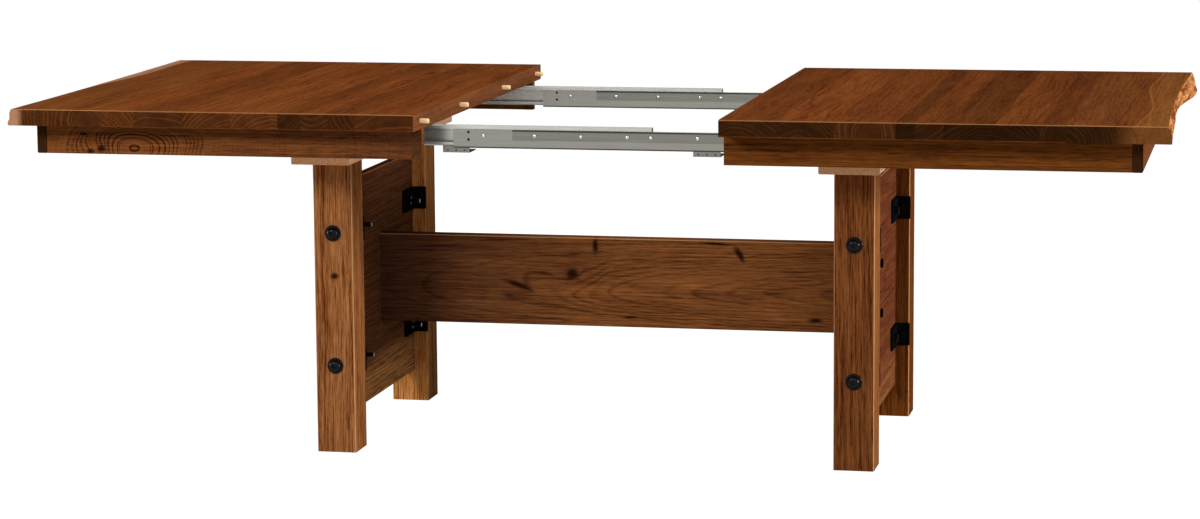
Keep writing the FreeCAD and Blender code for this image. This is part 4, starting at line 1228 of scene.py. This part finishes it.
@dataclass
class Hardware:
    """Slides, bolts, brackets, guides and dowels.

    Attributes:
        zinc: finish of the plates, angles and screws.
        bright: finish of the channels.
        dull: finish of the strips, cages and tabs.
        rivet: finish of the rivets.
        black: finish of the bolts.
        matt: finish of the brackets.
        polished: finish of the balls.
        nylon: finish of the rail guides.
        birch: finish of the leaf dowels.
        plated: nodes in zinc.
        channels: nodes in bright.
        strips: nodes in dull.
        painted: nodes in black.
        coated: nodes in matt.
        bolt_length: length of a leg bolt below its head, mm.
        dome: height of a leg bolt's head, mm.
        washer: thickness of a leg washer, mm.
        rivet_head: how far a rivet stands out, mm.
        ball: radius of a bearing ball, mm.
    """

    # Zinc on rolled steel: a smooth grey that mirrors the white room, dark along the lower edge, with a paler
    # flat grey painted as sheen on faces turned from front and back.
    zinc: Metal = Metal("zinc-plated rolled steel", "#9A9890", "#86847B", 1.0, 0.16, gloss=0.0,
                        rim="#B0AEA6", seam=3.6)
    # Fresh zinc on a formed channel: silvery, with soft bands of light and dark along its curves, and a flat
    # grey painted on its lips as their sheen.
    bright: Metal = Metal("bright zinc-plated channel steel", "#D0D0CA", "#A8A8A2", 0.75, 0.25, 3.0,
                          gloss=0.0, rim="#B0B0AA")
    # Zinc on a thin strip: a shade darker than the plate, with a painted shadow line along its upper edge
    # under the flange, and painted shade on its lips.
    dull: Metal = Metal("dull zinc-plated strip steel", "#88867E", "#727068", 1.0, 0.2, gloss=0.0,
                        rim="#4A4842", seam=4.0)
    # A pressed rivet: a bright dot with painted shade on its sloped rim.
    rivet: Metal = Metal("bright steel rivet", "#CCCCC8", "#B0B0AA", 0.9, 0.2, gloss=0.0, rim="#3A3A38")
    # Black paint: a deep black with a small soft highlight on the domes.
    black: Metal = Metal("black-painted steel", "#0C0C0D", "#050506", 0.0, 0.22, gloss=0.1)
    # Powder coating: a flat black without any highlight.
    matt: Metal = Metal("black powder-coated bracket steel", "#0E0E0F", "#070708", 0.0, 0.6, gloss=0.0)
    # Polished steel: the balls mirror the rails.
    polished: Metal = Metal("polished bearing steel", "#D0D0CC", "#A8A8A4", 1.0, 0.18)
    # Moulded nylon: an even, waxy off-white.
    nylon: PlainStuff = PlainStuff("moulded nylon", Grain.ALONG_X, "#D8D5CC", "#C6C2B8", 6.0)
    # Turned birch without stain: a pale cream that stands out from the walnut.
    birch: PlainStuff = PlainStuff("birch dowel", Grain.ALONG_X, "#F6D6A6", "#E2B984", 2.0)
    plated: tuple[str, ...] = (
        "right_front_rail", "right_rear_rail", "left_rail_angles", "left_rail_screws", "right_rail_screws",
        "head_board_screws", "guide_screws")
    channels: tuple[str, ...] = ("left_front_rail", "left_rear_rail")
    strips: tuple[str, ...] = ("right_rail_strips", "ball_cages", "left_rail_tab", "right_rail_tab")
    painted: tuple[str, ...] = ("bracket_lag_screws", "bracket_bolts", "bracket_nuts")
    coated: tuple[str, ...] = ("corner_brackets", "stretcher_bolts")
    bolt_length: float = 118.0
    dome: float = 9.0
    washer: float = 2.5
    rivet_head: float = 1.5
    ball: float = 3.0

    @staticmethod
    def repeated(name: str, template: bpy.types.Mesh, places: list[tuple[Vector, Vector]],
                 material: bpy.types.Material) -> bpy.types.Object:
        """Set copies of a small piece with Geometry Nodes, and turn them into one plain mesh.

        Args:
            name: the finished piece's name.
            template: the small piece, which points along Z.
            places: for each copy, its foot and the way that it points.
            material: the material of all the copies.

        Returns:
            The finished piece.
        """
        pattern = new_object(f"{name}_pattern", template)
        points = bpy.data.meshes.new(f"{name}_places")
        points.from_pydata([tuple(foot) for foot, _ in places], [], [])
        turns = points.attributes.new("turn", "FLOAT_VECTOR", "POINT")
        for item, (_, way) in zip(turns.data, places):
            item.vector = way.to_track_quat("Z", "Y").to_euler()
        holder = new_object(f"{name}_holder", points)
        tree = bpy.data.node_groups.new(f"{name}_copies", "GeometryNodeTree")
        tree.interface.new_socket("Places", in_out="INPUT", socket_type="NodeSocketGeometry")
        piece_input = tree.interface.new_socket("Piece", in_out="INPUT", socket_type="NodeSocketObject")
        seed_input = tree.interface.new_socket("Seed", in_out="INPUT", socket_type="NodeSocketInt")
        tree.interface.new_socket("Copies", in_out="OUTPUT", socket_type="NodeSocketGeometry")
        given = add(tree, "NodeGroupInput")
        piece = add(tree, "GeometryNodeObjectInfo", {"Object": given.outputs["Piece"]})
        turn = add(tree, "GeometryNodeInputNamedAttribute", {"Name": "turn"}, data_type="FLOAT_VECTOR")
        copies = add(tree, "GeometryNodeInstanceOnPoints", {
            "Points": given.outputs["Places"], "Instance": piece.outputs["Geometry"], "Rotation": turn})
        # Each copy is screwed in to a turn of its own.
        spin = add(tree, "FunctionNodeRandomValue", {"Max": math.tau, "Seed": given.outputs["Seed"]},
                   data_type="FLOAT")
        about = add(tree, "ShaderNodeCombineXYZ", {2: spin})
        spun = add(tree, "GeometryNodeRotateInstances", {"Instances": copies, "Rotation": about})
        real = add(tree, "GeometryNodeRealizeInstances", {"Geometry": spun})
        coloured = add(tree, "GeometryNodeSetMaterial", {"Geometry": real, "Material": material})
        add(tree, "NodeGroupOutput", {"Copies": coloured})
        modifier = holder.modifiers.new("copies", "NODES")
        modifier.node_group = tree
        modifier[piece_input.identifier] = pattern
        modifier[seed_input.identifier] = 4
        seen = bpy.context.evaluated_depsgraph_get()
        mesh = bpy.data.meshes.new_from_object(holder.evaluated_get(seen), depsgraph=seen)
        holder.modifiers.clear()
        bpy.data.objects.remove(holder)
        bpy.data.objects.remove(pattern)
        return new_object(name, mesh)

    def build_bolts(self, paint: bpy.types.Material) -> None:
        """Make the domed socket bolts of the legs with their washers.

        Args:
            paint: the material of both.
        """
        shank = 5.0
        bolt = Turned((
            (shank, -self.bolt_length), (shank, 0.0), (13.5, 0.0), (13.3, 1.8), (12.4, 4.2), (10.6, 6.6),
            (8.4, 8.2), (6.0, self.dome)), socket=4.0)
        bore, rim, easing = 6.0, 17.5, 0.6
        ring = Turned((
            (bore, 0.0), (rim, 0.0), (rim, self.washer - easing), (rim - easing, self.washer),
            (bore, self.washer)))
        for node, part, height in (("leg_bolts", bolt, self.dome), ("leg_washers", ring, self.washer)):
            places = []
            for low, high in solids_of(node):
                middle = (low + high) / 2
                front = middle.y < 0
                way = Vector((0, -1 if front else 1, 0))
                outer = low.y if front else high.y
                places.append((Vector((middle.x, outer - way.y * height * MM, middle.z)), way))
            piece = self.repeated(f"turned_{node}", part.mesh(f"{node}_turned"), places, paint)
            stand_for(piece, node, paint)

    def build_slides(self, rivet_steel: bpy.types.Material, ball_steel: bpy.types.Material) -> None:
        """Make the rivet heads and the balls of the slides.

        Args:
            rivet_steel: the rivets' material.
            ball_steel: the balls' material.
        """
        shank = 2.5
        rivet = Turned((
            (shank, -4.0), (shank, 0.0), (4.4, 0.0), (4.2, 0.6), (3.4, 1.2), (1.8, self.rivet_head)),
            sides=20)
        places = [
            (Vector(((low.x + high.x) / 2, low.y + self.rivet_head * MM, (low.z + high.z) / 2)),
             Vector((0, -1, 0)))
            for low, high in solids_of("right_rail_rivets")
        ]
        piece = self.repeated("turned_rivets", rivet.mesh("rivet_turned"), places, rivet_steel)
        stand_for(piece, "right_rail_rivets", rivet_steel)
        steps = 12
        arcs = [math.pi * (step + 0.5) / steps - math.pi / 2 for step in range(steps)]
        ball = Turned(tuple((self.ball * math.cos(arc), self.ball * math.sin(arc)) for arc in arcs), sides=20)
        places = [((low + high) / 2, Vector((0, 0, 1))) for low, high in solids_of("bearing_balls")]
        piece = self.repeated("turned_balls", ball.mesh("ball_turned"), places, ball_steel)
        stand_for(piece, "bearing_balls", ball_steel)

    def build_dowels(self, wood: bpy.types.Material) -> None:
        """Make the leaf dowels with rounded tips.

        Args:
            wood: the dowels' material.
        """
        dowel = Turned(((5.0, 0.0), (5.0, 37.5), (4.7, 38.8), (4.0, 39.7), (2.6, 40.0)), sides=24)
        places = [
            (Vector((low.x, (low.y + high.y) / 2, (low.z + high.z) / 2)), Vector((1, 0, 0)))
            for low, high in solids_of("leaf_dowels")
        ]
        piece = self.repeated("turned_dowels", dowel.mesh("dowel_turned"), places, wood)
        stand_for(piece, "leaf_dowels", wood)

    def build(self) -> None:
        """Dress the metal, and make the small round pieces."""
        plate_low, plate_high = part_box("right_front_rail")
        black = self.black.material()
        for nodes, material in (
                (self.plated, self.zinc.material(plate_low.z)), (self.channels, self.bright.material()),
                (self.strips, self.dull.material(plate_high.z)), (self.painted, black),
                (self.coated, self.matt.material()), (("rail_guides",), self.nylon.material())):
            for node in nodes:
                dress(node, material)
        self.build_bolts(black)
        self.build_slides(self.rivet.material(), self.polished.material())
        self.build_dowels(self.birch.material())


# The studio

@dataclass(frozen=True)
class Lamp:
    """A soft box that faces the table.

    Attributes:
        name: what the lamp does.
        place: its middle, m.
        size: its edge length, m.
        power: its power, W.
    """

    name: str
    place: tuple[float, float, float]
    size: float
    power: float


@dataclass
class Studio:
    """Camera, floor and soft light.

    Attributes:
        focal: focal length in pixels of a picture of the stated width.
        picture_width: width of the picture in pixels.
        yaw: turn of the camera to the left, degrees.
        pitch: tilt of the camera downwards, degrees.
        roll: turn of the picture, degrees.
        eye: place of the camera, m.
        lamps: the soft boxes.
        target: the place that the lamps face, m.
        surround_light: light of the white surround on the table, where 1 is white.
        floor_reach: half the floor's width, m.
        floor_tone: the floor's colour.
        floor_glow: brightness of the white that covers the floor where it is seen.
        floor_cover: how much of the floor that white covers. The rest keeps the table's shadow.
    """

    focal: float = 3398.5
    picture_width: float = 1200.0
    yaw: float = 12.045
    pitch: float = 8.444
    roll: float = -0.404
    eye: tuple[float, float, float] = (1.5056, -7.2997, 1.4912)
    lamps: tuple[Lamp, ...] = (
        Lamp("key", (-1.8, -3.6, 2.3), 0.9, 87.0),
        Lamp("fill", (1.3, -3.3, 2.1), 0.6, 26.0),
        Lamp("side", (6.2, -0.75, 1.2), 1.2, 440.0),
        Lamp("over", (-0.2, 0.0, 4.0), 3.0, 82.0),
        Lamp("back", (-2.0, 4.2, 1.0), 1.4, 90.0),
        Lamp("left", (-5.4, 0.6, 1.0), 1.4, 110.0))
    target: tuple[float, float, float] = (0.0, 0.0, 0.5)
    surround_light: float = 0.12
    floor_reach: float = 30.0
    floor_tone: str = "#D0D0CE"
    floor_glow: float = 1.14
    floor_cover: float = 0.88

    def camera(self) -> None:
        """Set up the camera of the photograph."""
        data = bpy.data.cameras.new("camera")
        data.sensor_width = 36.0
        data.lens = self.focal / self.picture_width * data.sensor_width
        data.clip_end = 100.0
        yaw, pitch, roll = (math.radians(angle) for angle in (self.yaw, self.pitch, self.roll))
        right = Vector((math.cos(yaw), math.sin(yaw), 0.0))
        ahead = Vector((-math.sin(yaw), math.cos(yaw), 0.0))
        upright = Vector((0.0, 0.0, 1.0))
        look = math.cos(pitch) * ahead - math.sin(pitch) * upright
        above = math.sin(pitch) * ahead + math.cos(pitch) * upright
        across = math.cos(roll) * right + math.sin(roll) * above
        up = -math.sin(roll) * right + math.cos(roll) * above
        turn = Matrix((across, up, -look)).transposed().to_4x4()
        camera = bpy.data.objects.new("camera", data)
        camera.matrix_world = Matrix.Translation(Vector(self.eye)) @ turn
        bpy.context.scene.collection.objects.link(camera)
        bpy.context.scene.camera = camera

    @staticmethod
    def direct(tree: bpy.types.NodeTree) -> bpy.types.Node:
        """Tell the rays that show the surround itself: straight, mirrored or through glass.

        Args:
            tree: the tree of the floor's or the world's material.

        Returns:
            1 for such a ray, 0 for one that only brings light.
        """
        path = add(tree, "ShaderNodeLightPath").outputs
        seen = add(tree, "ShaderNodeMath", {0: path["Is Camera Ray"], 1: path["Is Glossy Ray"]},
                   operation="MAXIMUM")
        return add(tree, "ShaderNodeMath", {0: seen, 1: path["Is Transmission Ray"]}, operation="MAXIMUM")

    def floor(self) -> None:
        """Lay a white floor that keeps a faint shadow of the table."""
        mesh = bpy.data.meshes.new("floor")
        corners = [(-1, -1), (1, -1), (1, 1), (-1, 1)]
        mesh.from_pydata([(x * self.floor_reach, y * self.floor_reach, 0) for x, y in corners], [],
                         [(0, 1, 2, 3)])
        # Matt paper: pure white to the eye, with no sheen and only a trace of shadow.
        material, tree = new_material("white studio floor")
        paper = add(tree, "ShaderNodeBsdfPrincipled", {
            "Base Color": linear(self.floor_tone), "Roughness": 0.95, "Specular IOR Level": 0.0})
        glow = add(tree, "ShaderNodeEmission", {"Color": (1.0, 1.0, 1.0, 1.0), "Strength": self.floor_glow})
        share = add(tree, "ShaderNodeMath", {0: self.direct(tree), 1: self.floor_cover}, operation="MULTIPLY")
        mixed = add(tree, "ShaderNodeMixShader", {0: share, 1: paper, 2: glow})
        add(tree, "ShaderNodeOutputMaterial", {"Surface": mixed})
        mesh.materials.append(material)
        new_object("floor", mesh)

    def light(self) -> None:
        """Light the table softly, before a white surround that is seen at full strength but lights little."""
        world = bpy.data.worlds.new("studio")
        world.use_nodes = True
        tree = world.node_tree
        tree.nodes.clear()
        strength = add(tree, "ShaderNodeMapRange", {
            "Value": self.direct(tree), "To Min": self.surround_light, "To Max": 1.0})
        sky = add(tree, "ShaderNodeBackground", {"Color": (1.0, 1.0, 1.0, 1.0), "Strength": strength})
        add(tree, "ShaderNodeOutputWorld", {"Surface": sky})
        bpy.context.scene.world = world
        for lamp in self.lamps:
            data = bpy.data.lights.new(lamp.name, "AREA")
            data.size = lamp.size
            data.energy = lamp.power
            box = bpy.data.objects.new(lamp.name, data)
            box.location = lamp.place
            way = Vector(self.target) - Vector(lamp.place)
            box.rotation_euler = way.to_track_quat("-Z", "Y").to_euler()
            bpy.context.scene.collection.objects.link(box)
        bpy.context.scene.view_settings.view_transform = "Standard"

    def build(self) -> None:
        """Set up the whole studio."""
        self.camera()
        self.floor()
        self.light()


def main() -> None:
    """Dress the table piece by piece."""
    logging.basicConfig(level=logging.INFO, format="%(message)s")
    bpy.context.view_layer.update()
    LEFT_HALF.build()
    RIGHT_HALF.build()
    Trestles().build()
    Hardware().build()
    Studio().build()


if __name__ == "__main__":
    main()
